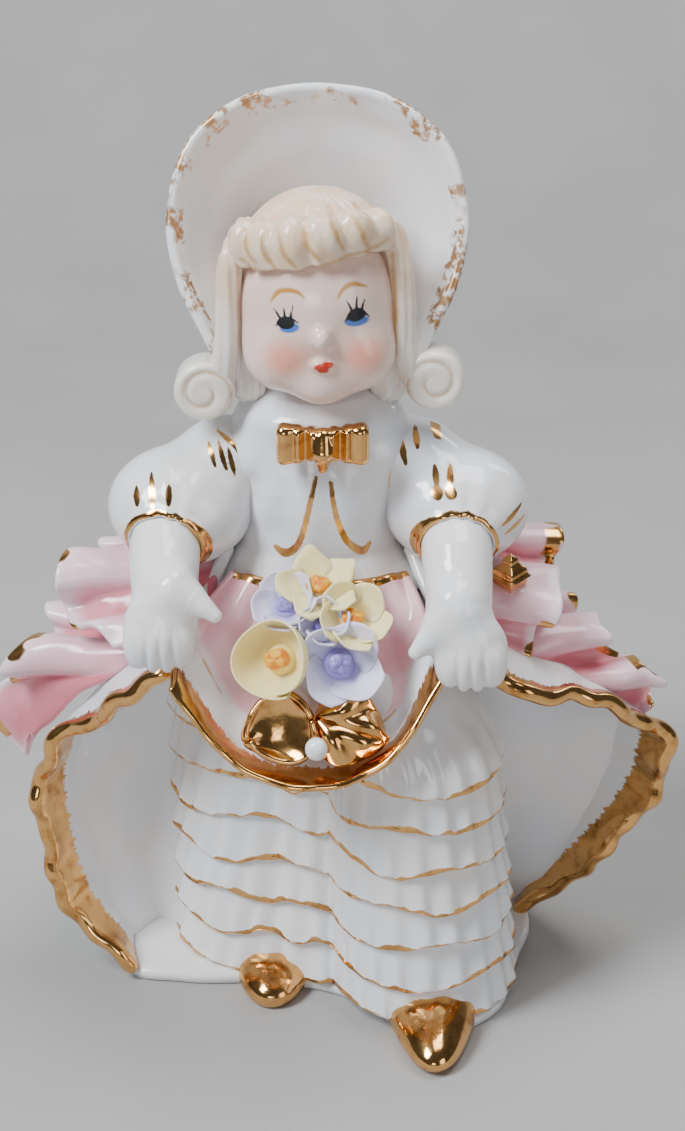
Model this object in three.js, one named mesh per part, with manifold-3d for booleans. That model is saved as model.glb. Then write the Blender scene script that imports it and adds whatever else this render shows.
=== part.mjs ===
// A porcelain figurine of a girl in a bonnet who holds up her apron full of flowers.
// It is slip-cast and hand-formed in separate clay pieces, luted together with slip and fired.
// Millimetres, +Z up. The girl faces -Y, and right_... pieces are on her own right, at -X.
// The origin is on the underside of the base plinth, below the body's axis.
import * as THREE from "three";
import { mergeVertices } from "three/addons/utils/BufferGeometryUtils.js";
import Module from "manifold-3d";

const wasm = await Module();
wasm.setup();

// ---- Driving dimensions -------------------------------------------------------------------
const HEIGHT = 140; // plinth to the top of the bonnet
const SLIP_GAP = 0.35; // luted joint between two clay pieces
const SLIVER = 0.03; // facets finer than this are smoothed away
const CAST_WALL = 2.4; // wall that the slip leaves in the mould
const SHEET = 2; // rolled clay sheet of the overskirt, apron and ruffles
const PLINTH_HEIGHT = 2;
const TIER_COUNT = 7;
const TIER_PITCH = 7; // height from one petticoat ruffle's hem to the next
const WAIST_Z = 70; // joint of petticoat and bodice
const NECK_Z = 95;
const HEAD_Z = 111; // centre of the head
const HEAD_RADII = [11.3, 11.5, 13];
const BRIM_HALF_WIDTH = 20.3;
const VENT_RADIUS = 3; // firing vent in the plinth

const point = (x, y, z) => new THREE.Vector3(x, y, z);
const mirrored = (points) => points.map((p) => point(-p.x, p.y, p.z));
const smoothstep = THREE.MathUtils.smoothstep;
const lerp = THREE.MathUtils.lerp;
const curveThrough = (points) => new THREE.CatmullRomCurve3(points, false, "catmullrom", 0.5);

// ---- Materials ----------------------------------------------------------------------------
const glaze = (color, roughness = 0.12) =>
  new THREE.MeshStandardMaterial({ color, roughness, metalness: 0 });
const white = glaze(0xf1f1f2);
const skin = glaze(0xf3dcd6, 0.2);
const hair = glaze(0xf0e3c8, 0.25);
const pink = glaze(0xe9b9c6, 0.3);
const yellowBisque = glaze(0xf1e6a4, 0.7);
const lilacBisque = glaze(0xc9c3e6, 0.7);
const pollen = glaze(0xeab53a, 0.7);
const gold = new THREE.MeshStandardMaterial({ color: 0xc98a3c, roughness: 0.18, metalness: 1 });

// ---- Solids and joints --------------------------------------------------------------------
function closed(geometry) {
  const bare = geometry.clone();
  bare.deleteAttribute("normal");
  bare.deleteAttribute("uv");
  return mergeVertices(bare, 1e-4);
}

function solidOf(geometry) {
  const merged = closed(geometry);
  return new wasm.Manifold(
    new wasm.Mesh({
      numProp: 3,
      vertProperties: merged.attributes.position.array,
      triVerts: new Uint32Array(merged.index.array),
    }),
  );
}

function geometryOf(solid) {
  const mesh = solid.getMesh();
  return new THREE.BufferGeometry()
    .setAttribute("position", new THREE.BufferAttribute(mesh.vertProperties, 3))
    .setIndex(new THREE.BufferAttribute(mesh.triVerts, 1));
}

// The same shape with its surface moved out by a joint's gap.
function swollen(geometry, gap = SLIP_GAP) {
  const grown = closed(geometry);
  grown.computeVertexNormals();
  const place = grown.attributes.position;
  const normal = grown.attributes.normal;
  for (let i = 0; i < place.count; i++)
    place.setXYZ(
      i,
      place.getX(i) + gap * normal.getX(i),
      place.getY(i) + gap * normal.getY(i),
      place.getZ(i) + gap * normal.getZ(i),
    );
  return grown;
}

const joined = (...geometries) =>
  geometryOf(geometries.map(solidOf).reduce((all, next) => all.add(next)));

const largestBody = (solid) =>
  solid
    .simplify(SLIVER)
    .decompose()
    .reduce((best, body) => (body.volume() > best.volume() ? body : best));

// ---- Shapes: three.js geometries whose vertices are moved by a function --------------------
function shaped(geometry, place) {
  const position = geometry.attributes.position;
  const vertex = new THREE.Vector3();
  for (let i = 0; i < position.count; i++) {
    const moved = place(vertex.fromBufferAttribute(position, i).clone());
    position.setXYZ(i, moved.x, moved.y, moved.z);
  }
  return geometry;
}

// A sheet of clay on surface(u, v): a flat box bent so that its middle lies on the surface.
function sheet(surface, columns, rows, thickness = SHEET) {
  const step = 1e-3;
  return shaped(new THREE.BoxGeometry(1, 1, 1, columns, rows, 1), (p) => {
    const u = p.x + 0.5;
    const v = p.y + 0.5;
    const alongU = surface(Math.min(u + step, 1), v).sub(surface(Math.max(u - step, 0), v));
    const alongV = surface(u, Math.min(v + step, 1)).sub(surface(u, Math.max(v - step, 0)));
    const normal = alongU.cross(alongV).normalize();
    return surface(u, v).addScaledVector(normal, p.z * thickness);
  });
}

// A surface that runs smoothly across a row of upright curves.
const skinOf = (curves) => (u, v) =>
  curveThrough(curves.map((curve) => curve.getPoint(v))).getPoint(u);

// A closed column: ring(angle, level) gives a point for each angle and each level from 0 to 1.
function column(ring, sides, levels) {
  return shaped(new THREE.CylinderGeometry(1, 1, 1, sides, levels), (p) => {
    const level = p.y + 0.5;
    const angle = Math.atan2(-p.z, p.x);
    const onAxis = Math.hypot(p.x, p.z) < 0.5;
    return onAxis
      ? ring(0, level).add(ring(Math.PI, level)).multiplyScalar(0.5)
      : ring(angle, level);
  });
}

function blob(centre, radii, segments = [14, 9]) {
  return shaped(new THREE.SphereGeometry(1, ...segments), (p) =>
    point(centre.x + p.x * radii[0], centre.y - p.z * radii[1], centre.z + p.y * radii[2]),
  );
}

// A round limb along a curve, with a radius for each of its points.
function limb(points, radii, sides = 10, levels = 6) {
  const path = curveThrough(points);
  const girth = curveThrough(radii.map((r) => point(r, 0, 0)));
  return shaped(new THREE.CylinderGeometry(1, 1, 1, sides, levels), (p) => {
    const level = p.y + 0.5;
    const tangent = path.getTangent(level);
    const across = point(0, -1, 0).cross(tangent).normalize();
    const outward = across.clone().cross(tangent);
    const radius = girth.getPoint(level).x;
    return path
      .getPoint(level)
      .addScaledVector(across, p.x * radius)
      .addScaledVector(outward, p.z * radius);
  });
}

// ---- The figure: each piece goes into the group under its own name -------------------------
const figurine = new THREE.Group();
const outlines = new Map(); // each piece's outer shape, which trims the pieces that meet it

function add(name, geometry, material, { hollow, outline = geometry, trimmedBy = [] } = {}) {
  let solid = solidOf(geometry);
  if (hollow) solid = solid.subtract(solidOf(hollow));
  for (const neighbour of trimmedBy)
    solid = solid.subtract(solidOf(swollen(outlines.get(neighbour))));
  const mesh = new THREE.Mesh(geometryOf(largestBody(solid)), material);
  mesh.name = name;
  outlines.set(name, outline);
  figurine.add(mesh);
}

const SIDES = [
  ["right", -1],
  ["left", 1],
];

// ---- Base plinth with its firing vent ------------------------------------------------------
const PLINTH_OUTLINE = [
  [-9, -10.5], [3, -13.5], [16, -23.5], [27.5, -18], [32, -4], [34.5, 6], [31, 20], [18, 30.5],
  [0, 33], [-19, 29], [-31, 16], [-31.5, -6], [-22, -10],
];

function plinth() {
  const edge = new THREE.CatmullRomCurve3(PLINTH_OUTLINE.map(([x, y]) => point(x, y, 0)), true);
  const outline = new THREE.Shape(edge.getPoints(36).slice(1));
  const vent = new THREE.Path();
  vent.absarc(8, 12, VENT_RADIUS, 0, 2 * Math.PI, true);
  outline.holes.push(vent);
  return new THREE.ExtrudeGeometry(outline, {
    depth: PLINTH_HEIGHT,
    bevelEnabled: false,
    curveSegments: 5,
  });
}
add("base_plinth", plinth(), white);

// ---- Petticoat: a hollow casting in ruffled tiers, over both legs and the back --------------
const HEM_Z = PLINTH_HEIGHT + SLIP_GAP;
const KNEE_Z = 45;
const TIER_FLARE = 1.3; // how far each tier's hem stands out over the next one

// The three round masses that the petticoat drapes over, as centre and radius at height z.
function petticoatMasses(z) {
  const down = Math.min(z / KNEE_Z, 1);
  const up = smoothstep(z, KNEE_Z, WAIST_Z + 4);
  const waist = [0, -1, 10];
  const toWaist = (mass) => mass.map((value, i) => lerp(value, waist[i], up));
  return [
    toWaist([-9, 4.5, 14]),
    toWaist([lerp(16, 14, down), lerp(-8, -12.5, down), lerp(14.5, 12.5, down)]),
    toWaist([3, 3.5, 16]),
  ];
}

function petticoatReach(angle, z, inset) {
  const masses = petticoatMasses(z);
  const eye = [lerp(3, 0, smoothstep(z, KNEE_Z, WAIST_Z)), 0];
  const reaches = masses.map(([x, y, r]) => {
    const along = (x - eye[0]) * Math.cos(angle) + (y - eye[1]) * Math.sin(angle);
    const offset2 = (x - eye[0]) ** 2 + (y - eye[1]) ** 2 - along ** 2;
    return offset2 < r * r ? along + Math.sqrt(r * r - offset2) : 0;
  });
  const reach = Math.max(...reaches) - inset;
  return point(eye[0] + reach * Math.cos(angle), eye[1] + reach * Math.sin(angle), z);
}

function petticoat() {
  const levels = 2 * TIER_COUNT + 2;
  return column(
    (angle, level) => {
      const ring = Math.round(level * levels);
      const tier = Math.floor(ring / 2);
      const atHem = ring % 2 === 0;
      const hem = HEM_Z + TIER_PITCH * tier;
      const z = atHem ? hem : Math.min(hem + TIER_PITCH - 0.6, WAIST_Z);
      if (ring === levels) return petticoatReach(angle, WAIST_Z, 0);
      return petticoatReach(angle, z, tier < TIER_COUNT && atHem ? -TIER_FLARE / 2 : TIER_FLARE / 2);
    },
    36,
    levels,
  );
}

const plainPetticoat = (inset, overshoot, sides, levels) =>
  column(
    (angle, level) =>
      petticoatReach(angle, lerp(HEM_Z - overshoot, WAIST_Z + overshoot, level), inset),
    sides,
    levels,
  );
add("petticoat", petticoat(), white, {
  hollow: plainPetticoat(CAST_WALL + TIER_FLARE / 2, 1, 18, 5),
  outline: plainPetticoat(-TIER_FLARE / 2 - 0.5, 0.3, 36, 9),
});

// ---- Shoes: the toes show below the petticoat's hem -----------------------------------------
const shoe = (x, y, halfWidth, halfLength, height) =>
  shaped(new THREE.SphereGeometry(1, 14, 10), (p) => {
    const toe = Math.max(p.z, 0); // 0 over the heel half, 1 at the tip
    const blunt = (value) => Math.sign(value) * Math.abs(value) ** 0.8;
    return point(
      x + halfWidth * blunt(p.x) * (1 - 0.22 * toe),
      y - halfLength * p.z,
      Math.max(height * (0.5 + 0.5 * p.y * (1 - 0.25 * toe)), 0.2),
    );
  });
add("left_shoe", shoe(17.3, -21.5, 6.4, 11.6, 7.6), gold, {
  trimmedBy: ["petticoat", "base_plinth"],
});
add("right_shoe", shoe(-7.6, -9.4, 4.6, 7.4, 6.6), gold, {
  trimmedBy: ["petticoat", "base_plinth"],
});

// ---- Bodice: a hollow casting from the waist to the neck ------------------------------------
const BODICE = [
  // height, half width, half depth
  [WAIST_Z + SLIP_GAP, 10.2, 9.6],
  [74, 10.4, 9.8],
  [79, 11.6, 10.6],
  [85, 12.4, 11],
  [90, 11.4, 9.6],
  [NECK_Z - 1.5, 7.6, 7],
  [NECK_Z + 1, 5.4, 5.4],
];

function bodice(inset, lift) {
  const across = curveThrough(BODICE.map(([z, w]) => point(w, 0, z)));
  const along = curveThrough(BODICE.map(([z, , d]) => point(d, 0, z)));
  return column(
    (angle, level) => {
      const width = across.getPoint(level);
      const depth = along.getPoint(level);
      const stretch = level === 0 ? -lift : level === 1 ? lift : 0;
      return point(
        (width.x - inset) * Math.cos(angle),
        -1 + (depth.x - inset) * Math.sin(angle),
        width.z + stretch,
      );
    },
    20,
    6,
  );
}
add("bodice", bodice(0, 0), white, { hollow: bodice(CAST_WALL, 1) });

// ---- Sleeves, forearms and hands ------------------------------------------------------------
const HAND_REACH = { right: [-21.5, -21.8], left: [20, 21.2] }; // x at the cuff and the fingers

for (const [side, sign] of SIDES) {
  const [cuffX, fingerX] = HAND_REACH[side];
  const drop = side === "left" ? 3 : 0; // her left hand reaches lower
  const arm = limb(
    [
      point(cuffX, -7, 79.5),
      point(cuffX - 0.3, -13.6, 77.7),
      point(cuffX, -20, 73.4 - drop / 2),
      point(fingerX, -22.8, 69 - drop),
    ],
    [4.7, 5.1, 3.9, 3.2],
  );
  const palm = blob(point(fingerX + 0.2 * sign, -22.8, 69 - drop), [5.1, 3, 6.4]);
  const fingers = [-1.5, -0.5, 0.5, 1.5].map((slot) =>
    blob(
      point(fingerX + 0.3 * sign + slot * 2.4, -23.8, 66.4 - drop + 0.5 * Math.abs(slot)),
      [1.5, 1.5, 4.2],
      [6, 5],
    ),
  );
  const thumb = limb(
    [
      point(fingerX - 2.4 * sign, -22, 75 - 1.5 * drop),
      point(fingerX - 5 * sign, -23, 74.4 - 1.7 * drop),
      point(fingerX - 7.8 * sign, -24.4, 73.3 - 1.9 * drop),
    ],
    [1.8, 1.7, 1],
    8,
    4,
  );
  add(`${side}_forearm_and_hand`, joined(arm, palm, thumb, ...fingers), white, {
    trimmedBy: ["bodice", "petticoat"],
  });

  const puff = blob(point(sign * 20, -4.5, 81), [10.4, 9.6, 8.4]);
  const shoulder = blob(point(sign * 13, -1.5, 87.5), [7.4, 7, 5.6]);
  add(`${side}_sleeve`, joined(puff, shoulder), white, {
    trimmedBy: ["bodice", `${side}_forearm_and_hand`],
  });
}

// ---- Overskirt: one flared sheet, open in front, with a wing on each side --------------------
const SKIRT_Z = [HEM_Z, 14, 28, 42, 52, 60, 67.5, 74];
const upright = (places) => curveThrough(places.map(([x, y], i) => point(x, y, SKIRT_Z[i])));
const overskirtCurves = [
  // her right front edge
  upright([[-30.5, -8.6], [-40.8, -6], [-43.2, -6.5], [-41, -8.5], [-31.5, -14.5],
    [-23.5, -19.5], [-17.5, -12], [-13.4, -5]]),
  // her right side
  upright([[-31.5, 3], [-35.5, 3], [-37.5, 2.5], [-36.5, 0], [-31.5, -4], [-24.5, -7],
    [-17.5, -4.5], [-13.6, -1.5]]),
  // her right hip
  upright([[-26, 20], [-27, 19], [-27.5, 17], [-25.5, 14], [-22, 11], [-18.5, 8.5], [-14.5, 6],
    [-12.2, 4.5]]),
  // the back
  upright([[2, 32.5], [2, 31], [1.5, 27.5], [1, 23], [0.5, 19], [0, 15.8], [0, 13], [0, 11.2]]),
  // her left hip
  upright([[28, 20], [29.5, 19], [30, 17], [28, 14], [23.5, 11], [18.5, 8.5], [14.5, 6],
    [12.2, 4.5]]),
  // her left side
  upright([[33.5, 12], [39, 9], [43, 7], [44.5, 4], [38.5, 0], [28, -5], [17.5, -4.5],
    [13.6, -1.5]]),
  // her left front edge
  upright([[33.2, 7.5], [43.5, 3], [51, -1.5], [53, -5], [42, -12], [27.5, -20], [17.5, -12],
    [13.4, -5]]),
];
const torsoAndArms = [
  "petticoat",
  "bodice",
  "right_sleeve",
  "left_sleeve",
  "right_forearm_and_hand",
  "left_forearm_and_hand",
];
add("overskirt", sheet(skinOf(overskirtCurves), 26, 11), white, {
  trimmedBy: ["base_plinth", ...torsoAndArms],
});

// ---- Apron: a sheet that hangs from the waist, held up by both hands as a pouch --------------
const apronMiddle = curveThrough([
  point(0, -12.9, 72), point(0, -14.8, 63), point(0, -17.5, 55.5), point(0, -23.5, 50.2),
  point(0, -30.5, 49),
]);
const apronRightHalf = curveThrough([
  point(-7, -12.2, 72), point(-9.5, -15, 64.5), point(-11, -18.5, 57.5),
  point(-11.5, -23.5, 52.5), point(-11, -29, 51.2),
]);
const apronRightEdge = curveThrough([
  point(-12.5, -9.5, 72), point(-16, -14.5, 69), point(-18.5, -18, 66),
  point(-20, -21, 63.4), point(-20.5, -24, 61),
]);
const apronLeftHalf = curveThrough([
  point(7, -12.2, 72), point(9, -15, 64.5), point(10, -18.5, 58), point(10.5, -23.5, 53.2),
  point(9.5, -29, 52),
]);
const apronLeftEdge = curveThrough([
  point(12.5, -9.5, 72), point(14.5, -14.5, 69), point(16, -18, 66.5), point(17, -21, 64.4),
  point(17.5, -24, 62.4),
]);
const apronCurves = [apronRightEdge, apronRightHalf, apronMiddle, apronLeftHalf, apronLeftEdge];
add("apron", sheet(skinOf(apronCurves), 12, 8, 1.8), pink, {
  trimmedBy: [...torsoAndArms, "overskirt"],
});

// ---- Head and neck, hollow from the neck up --------------------------------------------------
const headBall = blob(point(0, -3, HEAD_Z), HEAD_RADII, [18, 11]);
const neck = limb(
  [point(0, -0.5, NECK_Z + 1.5), point(0, -1, 98), point(0, -2, 103)],
  [4.6, 5, 5.6],
  16,
  3,
);
const neckChannel = limb(
  [point(0, -0.5, NECK_Z - 1), point(0, -1, 99), point(0, -3, HEAD_Z)],
  [2.6, 2.8, 3],
  12,
  3,
);
const headHollow = blob(
  point(0, -3, HEAD_Z),
  HEAD_RADII.map((radius) => radius - CAST_WALL),
  [10, 7],
);
add("head", joined(headBall, neck), skin, {
  hollow: joined(neckChannel, headHollow),
  trimmedBy: ["bodice"],
});

// ---- Hair: a cap with a puffed fringe, side locks, scroll curls and the hair at the nape -------
const FRINGE_Z = 119;
const capBall = blob(point(0, -2.2, 113), [12.6, 12.6, 13.4], [16, 10]);
const face = new THREE.BoxGeometry(40, 40, 40).translate(0, 0, FRINGE_Z + 1.5 - 20);
const cap = geometryOf(solidOf(capBall).subtract(solidOf(face)));
const puffs = [
  [-8.4, -8.4, 0],
  [-3.2, -12, 0.8],
  [2.6, -12.4, 1.3],
  [8, -9.2, 1.2],
].map(([x, y, rise]) => blob(point(x, y, FRINGE_Z + 3.4 + rise), [3.8, 3, 4.2], [8, 6]));
add("hair_cap", joined(cap, ...puffs), hair, { trimmedBy: ["head"] });

for (const [side, sign] of SIDES) {
  const lock = limb(
    [
      point(sign * 11.6, -7.5, 117.5),
      point(sign * 12.4, -7.8, 110),
      point(sign * 13.2, -7, 104.4),
    ],
    [1.5, 1.9, 1.7],
    10,
    6,
  );
  add(`${side}_hair_lock`, lock, hair, { trimmedBy: ["head", "hair_cap"] });

  const scroll = new THREE.LatheGeometry(
    [
      [0, -1.6],
      [1.2, -2.9],
      [3.4, -3.1],
      [4.5, -1.6],
      [4.5, 1.6],
      [3.2, 2.8],
      [0, 2.8],
    ].map(([r, y]) => new THREE.Vector2(r, y)),
    18,
  );
  scroll.translate(sign * 15.9, -5.2, 99.2);
  add(`${side}_curl`, scroll, hair, {
    trimmedBy: ["head", "bodice", `${side}_sleeve`, `${side}_hair_lock`],
  });
}

// ---- Bonnet: a crown behind the head and a wide brim round the face --------------------------
const CROWN_CENTRE = point(0, 3.5, 114);
const CROWN_RADII = [14, 13.5, 14.4];
const crownFront = new THREE.BoxGeometry(60, 30, 60).translate(0, CROWN_CENTRE.y - 15, 114);
const crownBall = solidOf(blob(CROWN_CENTRE, CROWN_RADII, [20, 12])).subtract(solidOf(crownFront));
add("bonnet_crown", geometryOf(crownBall), white, {
  hollow: blob(
    CROWN_CENTRE,
    CROWN_RADII.map((radius) => radius - CAST_WALL),
    [16, 10],
  ),
  trimmedBy: ["head", "hair_cap"],
});

const BRIM_TOP_Z = HEIGHT - 1;
const brimRim = [
  point(-14.2, -6, 104.6),
  point(-15.8, -5, 109),
  point(-18.8, -3, 115),
  point(-BRIM_HALF_WIDTH, 0, 123),
  point(-17.4, 2.8, 132),
  point(-10, 5, 137.4),
];
const brimNeck = [
  point(-12.6, -3, 104.6),
  point(-13, -1.5, 108),
  point(-13.4, 0, 112),
  point(-13.6, 1.5, 117),
  point(-11.6, 3, 123),
  point(-6.6, 4, 127),
];
const across = (half, middle) => curveThrough([...half, middle, ...mirrored(half).reverse()]);
const rimCurve = across(brimRim, point(0, 5.8, BRIM_TOP_Z));
const neckCurve = across(brimNeck, point(0, 4.4, 128.4));
const BRIM_DISH = 1.6; // how far the brim sinks between its neck and its rim
const brimSurface = (u, v) =>
  neckCurve
    .getPoint(u)
    .lerp(rimCurve.getPoint(u), v)
    .add(point(0, BRIM_DISH * Math.sin(Math.PI * v), 0));
add("bonnet_brim", sheet(brimSurface, 24, 3, 2), white, {
  trimmedBy: [
    "bonnet_crown", "head", "hair_cap", "right_hair_lock", "left_hair_lock", "right_curl",
    "left_curl",
  ],
});
add("hair_nape", blob(point(0, 6.5, 99.6), [8.6, 4.6, 4.6], [12, 8]), hair, {
  trimmedBy: ["bodice", "head", "bonnet_crown"],
});

// ---- Neck bow ---------------------------------------------------------------------------------
function bowOutline(halfWidth, halfHeight, waistHalf) {
  const outline = new THREE.Shape();
  outline.moveTo(0, waistHalf);
  outline.lineTo(-halfWidth, halfHeight);
  outline.lineTo(-halfWidth * 0.94, -halfHeight);
  outline.lineTo(-halfWidth * 0.25, -waistHalf * 1.2);
  outline.lineTo(0, -halfHeight * 1.5);
  outline.lineTo(halfWidth * 0.25, -waistHalf * 1.2);
  outline.lineTo(halfWidth * 0.94, -halfHeight);
  outline.lineTo(halfWidth, halfHeight);
  outline.closePath();
  return outline;
}
const neckBow = new THREE.ExtrudeGeometry(bowOutline(6.3, 2.6, 1.9), {
  depth: 1.6,
  bevelThickness: 0.6,
  bevelSize: 0.5,
  bevelSegments: 1,
})
  .rotateX(Math.PI / 2)
  .translate(0.7, -12.2, 93.6);
add("neck_bow", neckBow, gold, { trimmedBy: ["bodice", "head"] });

// ---- Bouquet: a mound of clay with six flowers and two gilt leaves ----------------------------
const FLOWERS = [
  // name, centre, mouth radius, cup depth, petals, how far the mouth is notched, material
  ["yellow_flower_top", point(0, -19, 76), 4.6, 3.4, 5, 0.22, yellowBisque],
  ["yellow_flower_side", point(5.4, -22.4, 72.2), 4.2, 3.4, 5, 0.16, yellowBisque],
  ["yellow_flower_cup", point(-6.4, -26.4, 67.4), 5.2, 5, 5, 0.03, yellowBisque],
  ["lilac_flower_side", point(-4.6, -21, 72.8), 3.9, 3.4, 5, 0.14, lilacBisque],
  ["lilac_flower_middle", point(0.6, -23.6, 70.6), 3.4, 3.2, 5, 0.14, lilacBisque],
  ["lilac_flower_front", point(3.6, -26.6, 66.4), 4.8, 4.4, 5, 0.1, lilacBisque],
];
const BOUQUET_HEART = point(0, -17, 58); // the flowers face away from here
const PETAL_WALL = 0.9;

function flowerCup(radius, depth, petals, notch) {
  const cup = [
    [0, -depth],
    [radius * 0.55, -depth * 0.8],
    [radius * 0.9, -depth * 0.3],
    [radius, 0],
    [radius - PETAL_WALL, 0.1],
    [radius * 0.8 - PETAL_WALL, -depth * 0.3],
    [0, -depth * 0.55],
  ].map(([r, y]) => new THREE.Vector2(r, y));
  return shaped(new THREE.LatheGeometry(cup, 20), (p) => {
    const wave = 1 - notch * smoothstep(p.y, -depth, 0) * (0.5 - 0.5 * Math.cos(
      petals * Math.atan2(p.z, p.x),
    ));
    return point(p.x * wave, p.y, p.z * wave);
  });
}

const facing = (centre) => {
  const outward = centre.clone().sub(BOUQUET_HEART).normalize();
  outward.y -= 0.55;
  return new THREE.Quaternion().setFromUnitVectors(point(0, 1, 0), outward.normalize());
};
const placed = (geometry, centre) =>
  geometry.applyQuaternion(facing(centre)).translate(centre.x, centre.y, centre.z);

const earlier = [];
for (const [name, centre, radius, depth, petals, notch, material] of FLOWERS) {
  add(name, placed(flowerCup(radius, depth, petals, notch), centre), material, {
    trimmedBy: ["bodice", "apron", "right_forearm_and_hand", "left_forearm_and_hand", ...earlier],
  });
  const stamen = new THREE.SphereGeometry(radius * 0.22, 7, 5).translate(0, -depth * 0.18, 0);
  add(`${name}_centre`, placed(stamen, centre), pollen, { trimmedBy: [name, ...earlier] });
  earlier.push(name);
}
const LEAF_HALF = [4.3, 2.2, 3.5];
for (const [side, sign] of SIDES)
  add(`${side}_gilt_leaf`, blob(point(sign * 4.4 - 0.3, -26.6, 57.4), LEAF_HALF), gold, {
    trimmedBy: ["apron", "yellow_flower_cup", "lilac_flower_front", ...(sign > 0 ? ["right_gilt_leaf"] : [])],
  });
add("bouquet_bead", blob(point(-0.2, -28.6, 55), [1.1, 1.1, 1.1], [10, 8]), white, {
  trimmedBy: ["right_gilt_leaf", "left_gilt_leaf", "apron"],
});
add("bouquet_mound", blob(point(0, -19.6, 63), [7.5, 5.2, 9.6]), white, {
  trimmedBy: [
    "bodice", "apron", "petticoat", "right_gilt_leaf", "left_gilt_leaf", "bouquet_bead", ...earlier,
  ],
});

// ---- Side drapes: an upper and a lower ruffle, from each wing's slope round to the back -------
// Each ruffle is a sheet from a line on the skirt to a free edge, pleated more towards that edge.
const FRILL = 1.5; // thickness of a ruffle
const FOLD_OVER = 0.2; // how far its folds round over

function ruffle(attached, free, pleats, depth, reach) {
  const inner = curveThrough(attached);
  const outer = curveThrough(free);
  return (u, v) => {
    const t = outer.getUtoTmapping(u);
    const start = inner.getPoint(t);
    const along = inner.getTangent(t);
    const spread = outer.getPoint(t).sub(start).multiplyScalar(reach);
    const facing = along.clone().cross(spread).normalize();
    const phase = 2 * Math.PI * pleats * u;
    return start
      .addScaledVector(spread, v)
      .addScaledVector(facing, depth * v * Math.sin(phase))
      .addScaledVector(along, -FOLD_OVER * depth * v * Math.sin(2 * phase));
  };
}
const upperAttached = [
  point(18.5, -12, 65), point(16.8, -9, 70.5), point(16, -1, 73.6), point(13.4, 8, 74),
  point(7, 13.6, 74.4), point(0.6, 15.2, 74.6),
];
const upperFree = [
  point(31.5, -12.5, 62), point(37.5, -8, 66), point(38.5, -1, 70), point(31.5, 15, 66),
  point(16, 25.5, 63), point(0.8, 28.8, 62),
];
const lowerAttached = [
  point(49, -1.5, 45), point(42, -5.5, 50.5), point(34.5, -9.5, 55.5), point(28, -9, 60.5),
  point(26.5, 0, 61.5), point(21.5, 12, 60), point(12, 18.8, 59.2), point(0.6, 20.8, 58.8),
];
const lowerFree = [
  point(51.5, 0, 46), point(52, -1.5, 51), point(48.5, -3, 55.5), point(43.5, -2, 59),
  point(43.5, 7, 56), point(36, 21, 50.5), point(20, 31.5, 46), point(0.8, 35, 44.5),
];
const RIGHT_CLOSER = 0.92; // her right drape is fixed nearer the middle
const REACH = { right: 1.08, left: 0.88 }; // and its free edge stands out further
const towards = (points, sign) =>
  points.map((p) => point(sign * p.x * (sign < 0 ? RIGHT_CLOSER : 1), p.y, p.z));

for (const [side, sign] of SIDES) {
  const skirtAndArm = [
    "overskirt", "bodice", "apron", `${side}_forearm_and_hand`, `${side}_sleeve`,
  ];
  const upper = ruffle(towards(upperAttached, sign), towards(upperFree, sign), 4.6, 2.6, REACH[side]);
  add(`${side}_upper_ruffle`, sheet(upper, 36, 3, FRILL), pink, { trimmedBy: skirtAndArm });
  const lower = ruffle(towards(lowerAttached, sign), towards(lowerFree, sign), 5.7, 3, REACH[side]);
  add(`${side}_lower_ruffle`, sheet(lower, 46, 3, FRILL), pink, {
    trimmedBy: [...skirtAndArm, `${side}_upper_ruffle`],
  });
}
add("left_gilt_bud", blob(point(27.8, -7.5, 71.6), [2.1, 2, 2.2], [8, 6]), gold, {
  trimmedBy: ["left_sleeve", "left_forearm_and_hand", "left_upper_ruffle", "left_lower_ruffle"],
});
const backBow = new THREE.ExtrudeGeometry(bowOutline(10, 4, 2), {
  depth: 2,
  bevelThickness: 0.6,
  bevelSize: 0.5,
  bevelSegments: 1,
})
  .rotateX(Math.PI / 2)
  .translate(0, 17.5, 77);
add("back_bow", backBow, pink, {
  trimmedBy: ["overskirt", "bodice", "right_upper_ruffle", "left_upper_ruffle"],
});

export default figurine;
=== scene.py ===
import math

import bmesh
import bpy
import numpy as np
import openvdb
from mathutils import Matrix, Vector


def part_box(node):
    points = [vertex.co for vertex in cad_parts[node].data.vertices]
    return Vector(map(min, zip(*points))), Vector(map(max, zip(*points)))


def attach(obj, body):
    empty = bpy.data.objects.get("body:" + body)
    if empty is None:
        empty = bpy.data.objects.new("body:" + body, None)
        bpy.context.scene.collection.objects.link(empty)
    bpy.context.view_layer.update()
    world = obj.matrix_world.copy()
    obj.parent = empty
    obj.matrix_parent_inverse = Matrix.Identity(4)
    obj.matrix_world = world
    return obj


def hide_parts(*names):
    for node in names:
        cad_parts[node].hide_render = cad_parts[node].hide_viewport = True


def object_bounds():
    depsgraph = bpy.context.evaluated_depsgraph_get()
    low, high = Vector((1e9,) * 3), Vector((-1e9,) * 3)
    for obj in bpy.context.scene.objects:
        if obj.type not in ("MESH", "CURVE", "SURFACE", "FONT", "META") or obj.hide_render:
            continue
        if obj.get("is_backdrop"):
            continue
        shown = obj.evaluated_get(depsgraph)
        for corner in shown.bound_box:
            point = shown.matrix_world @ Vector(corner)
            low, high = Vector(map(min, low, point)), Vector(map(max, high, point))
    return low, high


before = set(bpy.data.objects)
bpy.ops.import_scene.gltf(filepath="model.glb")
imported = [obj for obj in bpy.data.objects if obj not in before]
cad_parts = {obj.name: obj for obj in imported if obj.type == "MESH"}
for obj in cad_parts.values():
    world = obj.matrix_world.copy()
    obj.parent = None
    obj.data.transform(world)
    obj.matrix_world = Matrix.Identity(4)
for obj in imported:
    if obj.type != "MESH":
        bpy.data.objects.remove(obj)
CAD_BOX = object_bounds()

MM = 0.001
COARSE = 1.0
SIDES = (("right", -1), ("left", 1))


def arr(*values):
    return np.array(values, float)


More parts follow.
